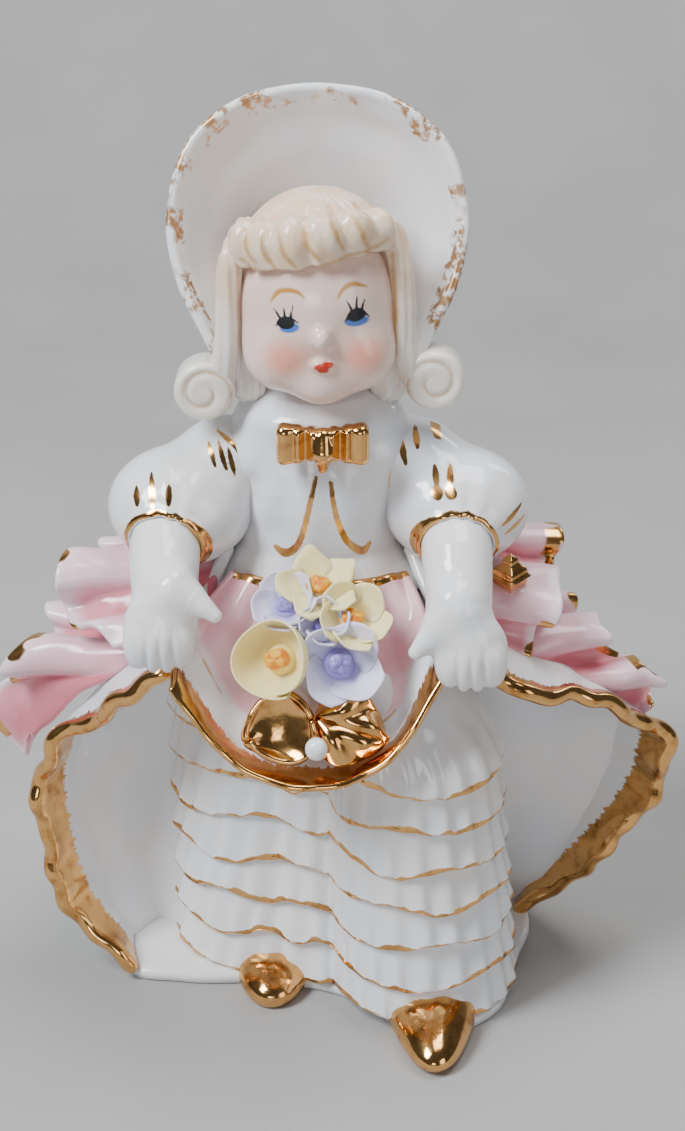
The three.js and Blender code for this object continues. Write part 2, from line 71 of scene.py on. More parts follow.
def centre_of(node):
    low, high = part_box(node)
    return (np.array(low) + np.array(high)) / 2 / MM


# ---- Numbers and curves ----
def smoothstep(value, low, high):
    t = np.clip((value - low) / (high - low), 0, 1)
    return t * t * (3 - 2 * t)


def lerp(a, b, t):
    return a + (b - a) * t


def unit(v):
    return v / np.maximum(np.linalg.norm(v, axis=-1, keepdims=True), 1e-12)


def catmull(points, t):
    """Uniform Catmull-Rom curve through points, at the parameters t from 0 to 1."""
    p = np.asarray(points, float)
    p = np.concatenate([[2 * p[0] - p[1]], p, [2 * p[-1] - p[-2]]])
    t = np.clip(np.atleast_1d(t), 0, 1) * (len(p) - 3)
    i = np.minimum(t.astype(int), len(p) - 4)
    w = (t - i).reshape((-1,) + (1,) * (p.ndim - 1))
    a, b, c, d = p[i], p[i + 1], p[i + 2], p[i + 3]
    return b + 0.5 * w * (c - a + w * (2 * a - 5 * b + 4 * c - d + w * (3 * (b - c) + d - a)))


def catmull_loop(points, count):
    p = np.asarray(points, float)
    n = len(p)
    t = np.arange(count) / count * n
    i = t.astype(int)
    w = (t - i)[:, None]
    a, b, c, d = p[(i - 1) % n], p[i % n], p[(i + 1) % n], p[(i + 2) % n]
    return b + 0.5 * w * (c - a + w * (2 * a - 5 * b + 4 * c - d + w * (3 * (b - c) + d - a)))


def skin(curves, u, v):
    """A grid of points (u, v) on the surface that runs across a row of curves."""
    rows = np.stack([catmull(curve, v) for curve in curves])
    return catmull(rows, u)


def arc_length(points, axis):
    step = np.linalg.norm(np.diff(points, axis=axis), axis=-1)
    zero = np.zeros_like(np.take(step, [0], axis=axis))
    return np.concatenate([zero, np.cumsum(step, axis=axis)], axis=axis)


def waves(points, scale, seed):
    """Smooth variation from -1 to 1 over space, for hand-made unevenness."""
    rng = np.random.default_rng(seed)
    total = 0
    for _ in range(6):
        direction = unit(rng.normal(size=3)) / scale * rng.uniform(0.6, 1.5)
        total = total + np.sin(2 * np.pi * (points @ direction) + rng.uniform(0, 6.28))
    return total / 3


# ---- Meshes ----
def make(name, points, faces, nodes, slot, material, marks=None):
    """A named piece from points in millimetres, which stands for the CAD nodes given."""
    mesh = bpy.data.meshes.new(name)
    mesh.from_pydata((np.asarray(points) * MM).tolist(), [], faces.tolist())
    for key, values in (marks or {}).items():
        layer = mesh.attributes.new(key, "FLOAT", "POINT")
        layer.data.foreach_set("value", np.asarray(values, np.float32).ravel())
    bm = bmesh.new()
    bm.from_mesh(mesh)
    bmesh.ops.remove_doubles(bm, verts=bm.verts, dist=2e-7)
    bmesh.ops.dissolve_degenerate(bm, edges=bm.edges, dist=1e-8)
    bmesh.ops.recalc_face_normals(bm, faces=bm.faces)
    bm.to_mesh(mesh)
    bm.free()
    mesh.shade_smooth()
    piece = bpy.data.objects.new(name, mesh)
    bpy.context.scene.collection.objects.link(piece)
    mesh.materials.append(material)
    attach(piece, "root")
    if nodes:
        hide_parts(*nodes)
    return piece


def grid_faces(rings, sides):
    """Quads between rings of points, each ring closed on itself."""
    i, j = np.meshgrid(np.arange(rings - 1), np.arange(sides), indexing="ij")
    k = (j + 1) % sides
    quads = np.stack([i * sides + j, i * sides + k, (i + 1) * sides + k, (i + 1) * sides + j], -1)
    return quads.reshape(-1, 4)


def shell(middle, thickness, rounds=3):
    """Points and faces of a rounded sheet of clay on a grid, and a way to spread grid marks."""
    nu, nv = middle.shape[:2]
    half = np.broadcast_to(np.asarray(thickness, float) / 2, (nu, nv))
    along_u = np.gradient(middle, axis=0)
    along_v = np.gradient(middle, axis=1)
    normal = unit(np.cross(along_u, along_v))
    over_v = unit(np.cross(normal, unit(along_u)))
    angles = np.linspace(0, np.pi, 2 * rounds + 1)[1:-1]

    def ring(centre, h, n, out, squeeze):
        """The loop round one column: front, over the far edge, back, under the near edge."""
        front = centre + n * (h * squeeze)[:, None]
        back = centre - n * (h * squeeze)[:, None]
        far = [
            centre[-1] + h[-1] * squeeze * (math.cos(a) * n[-1] + math.sin(a) * out[-1])
            for a in angles
        ]
        near = [
            centre[0] - h[0] * squeeze * (math.cos(a) * n[0] + math.sin(a) * out[0])
            for a in angles
        ]
        return np.concatenate([front, far, back[::-1], near])

    rings, columns = [], []
    for end in (True, False):
        i = 0 if end else nu - 1
        ahead = unit(np.cross(over_v[i], normal[i])) * (-1 if end else 1)
        ahead *= np.sign(np.sum(ahead * along_u[i], -1, keepdims=True)) * (-1 if end else 1)
        caps = []
        for a in np.linspace(0, np.pi / 2, rounds + 1)[1:]:
            centre = middle[i] + ahead * (half[i] * math.sin(a))[:, None]
            caps.append(ring(centre, half[i], normal[i], over_v[i], math.cos(a) + 1e-9))
        if end:
            rings += caps[::-1]
            columns += [0] * rounds
            for k in range(nu):
                rings.append(ring(middle[k], half[k], normal[k], over_v[k], 1.0))
                columns.append(k)
        else:
            rings += caps
            columns += [nu - 1] * rounds
    points = np.stack(rings)
    sides = points.shape[1]
    near_edge = np.zeros(len(angles), int)
    loop = np.concatenate([np.arange(nv), near_edge + nv - 1, np.arange(nv)[::-1], near_edge])
    columns = np.array(columns)

    def spread(values):
        values = np.broadcast_to(values, (nu, nv))
        return values[np.ix_(columns, loop)].ravel()

    turn = np.concatenate([np.ones(nv), np.cos(angles), -np.ones(nv), -np.cos(angles)])
    face_side = np.broadcast_to(turn, (len(rings), sides)).ravel()
    return points.reshape(-1, 3), grid_faces(len(rings), sides), spread, face_side


def lofted(rings):
    """Points and faces of a closed body through rings of points, capped at both ends."""
    count, sides = rings.shape[:2]
    points = np.concatenate([rings.reshape(-1, 3), rings[[0, -1]].mean(1)])
    faces = grid_faces(count, sides)
    j = np.arange(sides)
    k = (j + 1) % sides
    base = (count - 1) * sides
    low = np.stack([k, j, np.full(sides, count * sides), np.full(sides, count * sides)], -1)
    high = np.stack([base + j, base + k, *[np.full(sides, count * sides + 1)] * 2], -1)
    return points, np.concatenate([faces, low, high])


# ---- Modelled clay: fields of signed distance, meshed where they are zero ----
def ball(p, centre, radii):
    q = p - arr(*centre)
    r = arr(*radii)
    k0 = np.linalg.norm(q / r, axis=-1)
    k1 = np.linalg.norm(q / r**2, axis=-1)
    return k0 * (k0 - 1) / np.maximum(k1, 1e-9)


def limb(p, points, radii):
    """A round limb along a line of points, with a radius at each."""
    best = np.full(p.shape[:-1], 1e9)
    for a, b, ra, rb in zip(points, points[1:], radii, radii[1:]):
        a, b = arr(*a), arr(*b)
        t = np.clip(((p - a) @ (b - a)) / ((b - a) @ (b - a)), 0, 1)
        away = np.linalg.norm(p - a - t[..., None] * (b - a), axis=-1)
        best = np.minimum(best, away - lerp(ra, rb, t))
    return best


def melt(a, b, k):
    """Two bodies joined with a soft fillet."""
    h = np.clip(0.5 + 0.5 * (b - a) / k, 0, 1)
    return lerp(b, a, h) - k * h * (1 - h)


def carve(a, b, k):
    """Body a cut by body b, with soft edges."""
    return -melt(-a, b, k)


def melted(k, *fields):
    total = fields[0]
    for field in fields[1:]:
        total = melt(total, field, k)
    return total


def clay(field, low, high, step):
    """Points and faces where field(points) is zero, inside the box from low to high."""
    step *= COARSE
    low, high = arr(*low), arr(*high)
    counts = np.ceil((high - low) / step).astype(int) + 1
    axes = [low[i] + step * np.arange(counts[i]) for i in range(3)]
    y, z = np.meshgrid(axes[1], axes[2], indexing="ij")
    values = np.empty(counts, np.float32)
    for i, x in enumerate(axes[0]):
        values[i] = field(np.stack([np.full_like(y, x), y, z], -1))
    grid = openvdb.FloatGrid(1e3)
    grid.copyFromArray(values)
    points, quads = grid.convertToQuads(0.0)
    points = points.astype(float) * step + low
    for _ in range(2):
        value = field(points)
        slope = np.stack(
            [(field(points + e) - field(points - e)) / (0.1 * step) for e in np.eye(3) * 0.05 * step],
            -1,
        )
        shift = slope * (value / np.maximum(np.sum(slope**2, -1), 0.2))[:, None]
        points -= np.clip(shift, -0.5 * step, 0.5 * step)
    return points, quads.astype(int)


def stroke(p, points, widths):
    """Signed distance from a painted stroke through points, as wide as widths."""
    t = np.linspace(0, 1, 8 * (len(points) - 1) + 1)
    line = catmull(points, t)
    width = catmull(np.asarray(widths, float)[:, None], t)[:, 0]
    best = np.full(len(p), 1e3)
    for a, b, wa, wb in zip(line, line[1:], width, width[1:]):
        s = np.clip(((p - a) @ (b - a)) / max((b - a) @ (b - a), 1e-9), 0, 1)
        away = np.linalg.norm(p - a - s[:, None] * (b - a), axis=-1)
        best = np.minimum(best, away - lerp(wa, wb, s) / 2)
    return best


def nearest_stroke(p, strokes):
    return np.minimum.reduce([stroke(p, line, widths) for line, widths in strokes])


def model(name, field, low, high, step, node, slot, material, marks=None):
    """A named piece of modelled clay. marks works out the values painted on its points."""
    points, faces = clay(field, low, high, step)
    make(name, points, faces, [node], slot, material, marks(points) if marks else None)


# ---- Materials ----
class Paint:
    """The node tree of one material, on coordinates in millimetres."""

    def __init__(self, name):
        self.material = bpy.data.materials.new(name)
        self.material.use_nodes = True
        self.tree = self.material.node_tree
        self.shader = self.tree.nodes["Principled BSDF"]
        where = self.tree.nodes.new("ShaderNodeTexCoord").outputs["Object"]
        self.place = self.node("ShaderNodeVectorMath", where, (1000, 1000, 1000), operation="MULTIPLY")

    def node(self, kind, *inputs, output=0, **settings):
        node = self.tree.nodes.new(kind)
        for key, value in settings.items():
            setattr(node, key, value)
        for socket, value in zip(node.inputs, inputs):
            self.put(value, socket)
        return node.outputs[output]

    def put(self, value, socket):
        if value is None:
            return
        if isinstance(value, bpy.types.NodeSocket):
            self.tree.links.new(value, socket)
        else:
            socket.default_value = value

    def mark(self, name):
        node = self.tree.nodes.new("ShaderNodeAttribute")
        node.attribute_name = name
        return node.outputs["Fac"]

    def math(self, operation, a, b=None, c=None):
        return self.node("ShaderNodeMath", a, b, c, operation=operation)

    def noise(self, scale, detail=2.0, place=None, rough=0.5):
        node = self.tree.nodes.new("ShaderNodeTexNoise")
        self.put(self.place if place is None else place, node.inputs["Vector"])
        node.inputs["Scale"].default_value = scale
        node.inputs["Detail"].default_value = detail
        node.inputs["Roughness"].default_value = rough
        return node.outputs["Fac"]

    def step(self, value, low, high, to_low=0.0, to_high=1.0):
        node = self.tree.nodes.new("ShaderNodeMapRange")
        node.interpolation_type = "SMOOTHSTEP"
        for socket, number in zip(node.inputs, (value, low, high, to_low, to_high)):
            self.put(number, socket)
        return node.outputs["Result"]

    def mix(self, factor, a, b):
        node = self.tree.nodes.new("ShaderNodeMix")
        node.data_type = "RGBA"
        for socket, value in zip((node.inputs[0], node.inputs[6], node.inputs[7]), (factor, a, b)):
            if isinstance(value, tuple) and len(value) == 3:
                value = (*value, 1.0)
            self.put(value, socket)
        return node.outputs[2]

    def streaks(self, along, across, rate=1.1, length=0.12):
        """Noise drawn out across the run of a rim, like the marks of a brush."""
        place = self.node(
            "ShaderNodeCombineXYZ",
            self.math("MULTIPLY", along, rate),
            self.math("MULTIPLY", across, length),
        )
        return self.noise(1.0, 3.0, place, 0.65)


GOLD = (0.78, 0.43, 0.15)
# Colour of the worn gold, and of the painted dark reflections in it.
GOLD_DARK = (0.4, 0.16, 0.04)


def glazed(name, base, layers=(), gloss=0.1, ripple=0.03, ripple_scale=0.22, depth=0.12):
    """A glazed surface. base is a colour or a function of the Paint, and each layer on it is
    (mask, colour, metal, roughness), with mask and colour possibly functions of the Paint."""
    paint = Paint(name)
    shader = paint.shader
    colour = base(paint) if callable(base) else (*base, 1.0)
    rough = paint.step(paint.noise(0.35, 3.0), 0.3, 0.7, gloss * 0.75, gloss * 1.3)
    metal = 0.0
    for mask, tint, metallic, roughness in layers:
        cover = mask(paint)
        tint = tint(paint) if callable(tint) else tint
        colour = paint.mix(cover, colour, tint)
        rough = paint.step(cover, 0.0, 1.0, rough, roughness)
        if metallic or not isinstance(metal, float):
            metal = paint.step(cover, 0.0, 1.0, metal, float(metallic))
    paint.put(colour, shader.inputs["Base Color"])
    paint.put(rough, shader.inputs["Roughness"])
    paint.put(metal, shader.inputs["Metallic"])
    shader.inputs["IOR"].default_value = 1.52
    if depth:
        shader.inputs["Subsurface Weight"].default_value = depth
        shader.inputs["Subsurface Radius"].default_value = (1.0, 0.9, 0.8)
        shader.inputs["Subsurface Scale"].default_value = 0.0012
    bump = paint.tree.nodes.new("ShaderNodeBump")
    bump.inputs["Strength"].default_value = 1.0
    bump.inputs["Distance"].default_value = ripple * MM
    paint.put(paint.noise(ripple_scale, 3.0), bump.inputs["Height"])
    paint.put(bump.outputs["Normal"], shader.inputs["Normal"])
    return paint.material


def gold_tint(paint):
    # Dark patches are partly worn gold and partly painted dark reflections, made larger and darker than
    # the wear alone would be.
    wear_and_dark_reflection = paint.step(paint.noise(0.4, 4.0, rough=0.6), 0.46, 0.74, 0.0, 0.85)
    return paint.mix(wear_and_dark_reflection, GOLD, GOLD_DARK)


def painted(name, soft=0.09, wobble=0.25, scale=1.4):
    """A mask inside a painted shape whose signed distance is a mark on the mesh."""

    def mask(paint):
        ragged = paint.math("MULTIPLY_ADD", paint.noise(scale, 2.0), wobble, -wobble / 2)
        return paint.step(paint.math("ADD", paint.mark(name), ragged), soft, -soft)

    return mask


def milk(paint):
    """White glaze that varies at random between slightly warm and slightly blue."""
    cool = paint.step(paint.noise(0.06, 2.0), 0.35, 0.7)
    return paint.mix(cool, (0.82, 0.81, 0.8), (0.76, 0.79, 0.85))


white = glazed("white_glaze", milk)
painted_white = glazed(
    "white_glaze_with_gilt_strokes", milk, [(painted("gold"), gold_tint, 1, 0.16)]
)
gilt = glazed("bright_gold", gold_tint, gloss=0.14, ripple=0.07, ripple_scale=0.4, depth=0)
gilt.node_tree.nodes["Principled BSDF"].inputs["Metallic"].default_value = 1.0


# ---- Base plinth ----
def plinth():
    outline = [
        (-9, -10.5), (3, -13.5), (16, -23.5), (27.5, -18), (32, -4), (34.5, 6), (31, 20),
        (18, 30.5), (0, 33), (-19, 29), (-31, 16), (-31.5, -6), (-22, -10),
    ]
    edge = catmull_loop(outline, 240)
    vent = arr(8, 12)
    angle = np.arctan2(*(edge - vent).T[::-1])
    hole = vent + 3 * np.stack([np.cos(angle), np.sin(angle)], -1)
    profile = [
        (0.03, 0), (0, 0.3), (0, 1.5), (0.012, 1.9), (0.05, 2.1), (0.3, 2.15), (0.7, 2.15),
        (0.96, 2.1), (1, 1.8), (1, 0.3), (0.97, 0), (0.5, 0), (0.03, 0),
    ]
    rings = [np.column_stack([lerp(edge, hole, f), np.full(240, z)]) for f, z in profile]
    return np.concatenate(rings), grid_faces(len(rings), 240)


make("base_plinth_glazed", *plinth(), ["base_plinth"], "white_glaze", white)

# ---- Petticoat ----
HEM_Z = 2.35
KNEE_Z = 45
WAIST_Z = 70
TIERS = 7
PITCH = 7


def petticoat_reach(angle, z):
    """Distance of the petticoat's plain surface from its axis, and that axis, at height z."""
    down = np.minimum(z / KNEE_Z, 1)
    up = smoothstep(z, KNEE_Z, WAIST_Z + 4)
    masses = [
        (-9, 4.5, 14),
        (lerp(16, 14, down), lerp(-8, -12.5, down), lerp(14.5, 12.5, down)),
        (3, 3.5, 16),
    ]
    axis_x = lerp(3, 0, smoothstep(z, KNEE_Z, WAIST_Z))
    reach = 0
    for mass in masses:
        x, y, r = (lerp(value, waist, up) for value, waist in zip(mass, (0, -1, 10)))
        along = (x - axis_x) * np.cos(angle) + y * np.sin(angle)
        aside = (x - axis_x) ** 2 + y**2 - along**2
        here = np.where(aside < r * r, along + np.sqrt(np.maximum(r * r - aside, 0)), 0)
        reach = -melt(-reach, -here, 2.2) if isinstance(reach, np.ndarray) else here
    return reach, axis_x


def petticoat():
    angle = np.linspace(0, 2 * np.pi, int(1080 / COARSE), endpoint=False)
    rings, hems = [], []

    def ring(z, offset, hem):
        reach, axis_x = petticoat_reach(angle, z)
        spot = reach + offset
        rings.append(np.stack([axis_x + spot * np.cos(angle), spot * np.sin(angle), z], -1))
        hems.append(hem)

    zero = angle * 0
    for tier in range(TIERS):
        base = HEM_Z + PITCH * tier
        reach, axis_x = petticoat_reach(angle, zero + base)
        outline = np.stack([axis_x + reach * np.cos(angle), reach * np.sin(angle)], -1)
        along = arc_length(np.concatenate([outline, outline[:1]]), 0)
        girth = along[-1]
        count = round(girth / 4.3)
        phase = 2 * np.pi * count * along[:-1] / girth + 1.7 * tier
        flute = np.cos(phase + 0.6 * np.sin(angle * 5 + tier) + 0.4 * np.sin(angle * 11 + 2 * tier))
        swag = np.sin(8 * angle + 2.1 * tier + 1.3 * np.sin(3 * angle + tier))
        sway = 0.3 * np.sin(3 * angle + 2.1 * tier) + 0.7 * swag + 0.28 * flute
        hem_z = base + (sway if tier else np.maximum(sway, 0) * 0.5)
        top_z = base + PITCH + 0.5
        ring(hem_z + 0.5, zero - 0.6, zero + 3)
        for s, out in ((0.22, 0.2), (0.02, 0.5), (-0.06, 0.75), (0.02, 0.97), (0.2, 1.07)):
            ring(hem_z + s, out + 0.26 * flute, zero + s)
        for w in np.linspace(0.08, 1, 14):
            fall = (1 - w) ** 1.2
            height = lerp(hem_z, top_z, w)
            swell = 1.07 * fall - 0.35 * (1 - fall)
            ring(height, swell + (0.1 + 0.3 * fall) * flute, height - hem_z)
    last = HEM_Z + PITCH * TIERS
    for w in np.linspace(0, 1, 14):
        z = lerp(last + 0.7, WAIST_Z, w)
        ring(zero + z, zero + lerp(-0.35, 0.2, w), zero + 9)
    points, faces = lofted(np.stack(rings))
    return points, faces, {"hem": np.concatenate([np.stack(hems).ravel(), [9, 9]])}


def hem_line(paint):
    """A thin gilt line along each hem, broken and uneven."""
    place = paint.node("ShaderNodeVectorMath", paint.place, (1, 1, 0.6), operation="MULTIPLY")
    patchy = paint.noise(0.16, 2.0, place)
    width = paint.step(patchy, 0.36, 0.66, 0.08, 0.8)
    shift = paint.step(paint.noise(0.5, 2.0, place), 0.3, 0.7, -0.12, 0.2)
    height = paint.math("SUBTRACT", paint.mark("hem"), 0.12)
    off = paint.math("ABSOLUTE", paint.math("SUBTRACT", height, shift))
    return paint.step(paint.math("SUBTRACT", off, width), 0.1, -0.1)


points, faces, marks = petticoat()
tiered = glazed("tiered_white_glaze", milk, [(hem_line, gold_tint, 1, 0.2)])
make("petticoat_tiers", points, faces, ["petticoat"], "white_glaze", tiered, marks)

# ---- Overskirt ----
SKIRT_Z = [HEM_Z, 14, 28, 42, 52, 60, 67.5, 74]
OVERSKIRT = [
    [(-30.5, -8.6), (-40.8, -6), (-43.2, -6.5), (-41, -8.5), (-31.5, -14.5), (-23.5, -19.5),
     (-17.5, -12), (-13.4, -5)],
    [(-31.5, 3), (-35.5, 3), (-37.5, 2.5), (-36.5, 0), (-31.5, -4), (-24.5, -7), (-17.5, -4.5),
     (-13.6, -1.5)],
    [(-26, 20), (-27, 19), (-27.5, 17), (-25.5, 14), (-22, 11), (-18.5, 8.5), (-14.5, 6),
     (-12.2, 4.5)],
    [(2, 32.5), (2, 31), (1.5, 27.5), (1, 23), (0.5, 19), (0, 15.8), (0, 13), (0, 11.2)],
    [(28, 20), (29.5, 19), (30, 17), (28, 14), (23.5, 11), (18.5, 8.5), (14.5, 6), (12.2, 4.5)],
    [(33.5, 12), (39, 9), (43, 7), (44.5, 4), (38.5, 0), (28, -5), (17.5, -4.5), (13.6, -1.5)],
    [(33.2, 7.5), (43.5, 3), (51, -1.5), (53, -5), (42, -12), (27.5, -20), (17.5, -12),
     (13.4, -5)],
]
SKIRT_CURVES = [[(x, y, z) for (x, y), z in zip(curve, SKIRT_Z)] for curve in OVERSKIRT]


def overskirt():
    s = np.linspace(0, 1, int(300 / COARSE))
    u = 0.5 - 0.5 * np.cos(np.pi * s) * (0.55 + 0.45 * np.abs(np.cos(np.pi * s)))
    v = np.linspace(0, 1, int(170 / COARSE))
    middle = skin(SKIRT_CURVES, u, v)
    across = arc_length(middle, 0)
    rim = np.minimum(across, across[-1] - across)
    climb = arc_length(middle, 1)
    first_half = across < across[-1] / 2
    run = np.where(first_half, climb[:1], climb[-1:])
    normal = unit(np.cross(np.gradient(middle, axis=0), np.gradient(middle, axis=1)))
    outward = unit(np.gradient(middle, axis=0)) * np.where(first_half, -1, 1)[..., None]
    fade = np.minimum(run / 6, 1) * smoothstep(v, 0.9, 0.75)
    scallop = 0.55 * np.sin(run / 2.3 + 1.1 * np.sin(run / 6.3)) + 0.3 * np.sin(run / 1.05 + 0.4)
    ripple = 0.7 * np.sin(run / 2.9 + 1.5 * np.sin(run / 7.7)) + 0.25 * np.sin(run / 1.3)
    middle = middle + outward * (scallop * np.exp(-rim / 2.5) * fade)[..., None]
    middle = middle + normal * (ripple * np.exp(-rim / 4.5) * fade)[..., None]
    folds = np.sin(across / 4.6 + 0.8 * np.sin(v * 3)) * smoothstep(rim, 6, 22)
    folds = folds * lerp(0.9, 0.35, v[None, :])
    middle = middle + normal * folds[..., None]
    thickness = 1.9 + 0.55 * np.exp(-((rim / 1.6) ** 2)) * smoothstep(middle[..., 2], 66, 61)
    points, faces, spread, side = shell(middle, thickness, 4)
    rim = rim + 12 * smoothstep(middle[..., 2], 61.5, 64.5)
    outside = np.sign(np.sum(normal[:, : len(v) // 2] * arr(0, 1, 0), -1).mean())
    return points, faces, {"rim": spread(rim), "run": spread(run), "outer": side * outside}


def side_panel(sign):
    """The clay that runs from the petticoat's side to the inside of a wing."""
    t = np.linspace(0, 0.78, int(90 / COARSE))
    wing = skin(SKIRT_CURVES, [0.13 if sign < 0 else 0.87], t)[0]
    angle = np.full(len(t), math.pi - 0.1 if sign < 0 else 0.25)
    reach, axis_x = petticoat_reach(angle, wing[:, 2])
    reach = reach - 0.5
    root = np.stack([axis_x + reach * np.cos(angle), reach * np.sin(angle), wing[:, 2]], -1)
    hollow = lerp(root, wing, 0.5) + arr(0, 1, 0) * lerp(4.4, 1, t / t[-1])[:, None]
    return shell(catmull([root, hollow, wing], np.linspace(0, 1, int(60 / COARSE))), 1.6, 3)


def brushed_rim(inner, outer, feather):
    """A gilt rim that ends in brush marks, wider inside the sheet than outside it."""

    def mask(paint):
        rim = paint.mark("rim")
        run = paint.mark("run")
        side = paint.step(paint.mark("outer"), -0.3, 0.3)
        width = paint.step(side, 0.0, 1.0, inner, outer)
        marks = paint.math("MULTIPLY_ADD", paint.streaks(run, rim), feather, -feather / 2)
        finest = paint.streaks(run, rim, 4.5, 0.2)
        fine = paint.math("MULTIPLY_ADD", finest, feather * 0.6, -feather * 0.3)
        edge = paint.math("ADD", width, paint.math("ADD", marks, fine))
        return paint.step(paint.math("SUBTRACT", rim, edge), 0.16, -0.16)

    return mask


points, faces, marks = overskirt()
winged = glazed("winged_white_glaze", milk, [
    (brushed_rim(4.8, 1.7, 3.6), gold_tint, 1, 0.14),
], ripple=0.07, ripple_scale=0.3)
make("overskirt_wings", points, faces, ["overskirt"], "white_glaze", winged, marks)
for side, sign in SIDES:
    points, faces, _, _ = side_panel(sign)
    make(f"{side}_skirt_panel", points, faces, ["overskirt"], "white_glaze", white)

# ---- Apron ----
APRON = [
    [(-12.5, -9.5, 72), (-16, -14.5, 69), (-18.5, -18, 66), (-20, -21, 63.4), (-20.5, -24, 61)],
    [(-7, -12.2, 72), (-9.5, -15, 64.5), (-11, -18.5, 57.5), (-11.5, -23.5, 52.5), (-11, -29, 51.2)],
    [(0, -12.9, 72), (0, -14.8, 63), (0, -17.5, 55.5), (0, -23.5, 50.2), (0, -30.5, 49)],
    [(7, -12.2, 72), (9, -15, 64.5), (10, -18.5, 58), (10.5, -23.5, 53.2), (9.5, -29, 52)],
    [(12.5, -9.5, 72), (14.5, -14.5, 69), (16, -18, 66.5), (17, -21, 64.4), (17.5, -24, 62.4)],
]


def apron():
    u = np.linspace(0, 1, int(200 / COARSE))
    v = np.linspace(0, 1, int(150 / COARSE))
    middle = skin(APRON, u, v)
    down = arc_length(middle, 1)
    rim = down[:, -1:] - down
    run = arc_length(middle, 0)[:, -1:]
    normal = unit(np.cross(np.gradient(middle, axis=0), np.gradient(middle, axis=1)))
    outward = unit(np.gradient(middle, axis=1))
    scallop = 0.3 * np.sin(run / 3.1) + 0.12 * np.sin(run / 1.1)
    middle = middle + outward * (scallop * np.exp(-((rim / 3.5) ** 2)))[..., None]
    pleat = 0.5 * np.sin(u * 34)[:, None] * np.exp(-(((v - 0.15) / 0.25) ** 2))[None, :]
    middle = middle + normal * pleat[..., None]
    thickness = 1.5 - 0.4 * np.exp(-((rim / 1.6) ** 2))
    fold = np.sin(9 * u + 1)[:, None] * 0.7 + 0.35 * np.sin(23 * u + 2)[:, None]
    middle = middle + normal * (fold * np.exp(-(((v - 0.45) / 0.3) ** 2))[None, :])[..., None]
    points, faces, spread, side = shell(middle, thickness, 4)
    return points, faces, {"rim": spread(rim), "run": spread(run), "top": spread(down), "outer": -side}


OCHRE = (0.56, 0.33, 0.13)
ROSE = (0.8, 0.4, 0.46)
BLUSH = (0.87, 0.6, 0.65)


def apron_glaze(paint):
    """Rose above a ragged line across the pouch, white below it."""
    wash = paint.step(paint.noise(0.2, 2.0), 0.3, 0.7, -1.2, 1.2)
    above = paint.step(paint.math("ADD", paint.mark("rim"), wash), 8.2, 10.8)
    rose = paint.mix(paint.step(paint.noise(0.16, 2.0), 0.3, 0.7), ROSE, BLUSH)
    return paint.mix(above, milk(paint), rose)


def pouch_seam(paint):
    """A worn ochre line where the rose ends, in places."""
    place = paint.math("SUBTRACT", paint.mark("rim"), 8.9)
    line = paint.step(paint.math("ABSOLUTE", place), 0.34, 0.2)
    return paint.math("MULTIPLY", line, paint.step(paint.noise(0.12, 2.0), 0.5, 0.58, 0.0, 0.8))


def top_line(paint):
    """A thin gilt line along the top of the apron, broken in places."""
    patch = paint.step(paint.noise(0.14, 2.0), 0.42, 0.5)
    return paint.math("MULTIPLY", patch, paint.step(paint.mark("top"), 0.75, 0.55))


points, faces, marks = apron()
pouch = glazed("apron_glaze", apron_glaze, [
    (brushed_rim(5.4, 3.6, 3.4), gold_tint, 1, 0.13),
    (pouch_seam, OCHRE, 0, 0.2),
    (top_line, gold_tint, 1, 0.2),
], 0.14, ripple=0.06, ripple_scale=0.3)
make("apron_pouch", points, faces, ["apron"], "pink_glaze", pouch, marks)

# ---- Bodice ----
BODICE = arr(
    # height, half width, half depth
    (68, 17, 12), (70.2, 16, 11.6), (72.5, 13.6, 10.9), (75, 11.8, 10.3), (79, 11.5, 10.6),
    (82, 12, 10.9), (85, 12.3, 10.9), (88, 12, 10.3), (90, 11.2, 9.6), (93.5, 8, 7.6), (96, 6, 6),
)


def bodice_field(p):
    z = np.clip(p[..., 2], 68, 96)
    width = np.interp(z, BODICE[:, 0], BODICE[:, 1])
    depth = np.interp(z, BODICE[:, 0], BODICE[:, 2])
    k = np.sqrt((p[..., 0] / width) ** 2 + ((p[..., 1] + 1) / depth) ** 2)
    body = (k - 1) * np.minimum(width, depth) * 0.9
    body = np.maximum(body, np.maximum(p[..., 2] - 96.3, 68.5 - p[..., 2]))
    shoulders = [ball(p, (s * 8, -1.4, 89.4), (6.5, 7.4, 4.6)) for s in (-1, 1)]
    collar = ball(p, (0.2, -1.8, 94.8), (11.6, 9.4, 3.9))
    body = melt(melted(3, body, *shoulders), collar, 4)
    crease = np.sin(p[..., 0] * 0.9 + 0.05 * (p[..., 2] - 80) * p[..., 0])
    return body + 0.16 * crease * smoothstep(-p[..., 1], 4, 9) * smoothstep(p[..., 2], 92, 86)


SCROLLS = [
    ([(-0.3, 88), (-1.1, 84.5), (-1.8, 81.3), (-2.6, 78.4), (-3.7, 76.6), (-5, 76), (-6.2, 76.6)],
     [0.6, 0.8, 0.85, 0.95, 1.1, 1.3, 0.7]),
    ([(1.8, 87.2), (2.2, 84), (2.8, 81.3), (3.9, 78.4), (5.2, 76.8), (6.4, 76.1), (7.3, 77)],
     [0.6, 0.8, 0.85, 0.95, 1.1, 1.3, 0.7]),
]


def bodice_marks(points):
    return {"gold": np.where(points[:, 1] < -5, nearest_stroke(points[:, [0, 2]], SCROLLS), 3)}


model("bodice_front", bodice_field, (-18.5, -14.5, 67.5), (18.5, 13, 100.5), 0.4, "bodice",
      "white_glaze", painted_white, bodice_marks)

# ---- Sleeves, forearms and hands ----
ARM = {
    "right": dict(cuff=-21.5, finger=-21.8, drop=0.0),
    "left": dict(cuff=20.0, finger=21.2, drop=3.0),
}


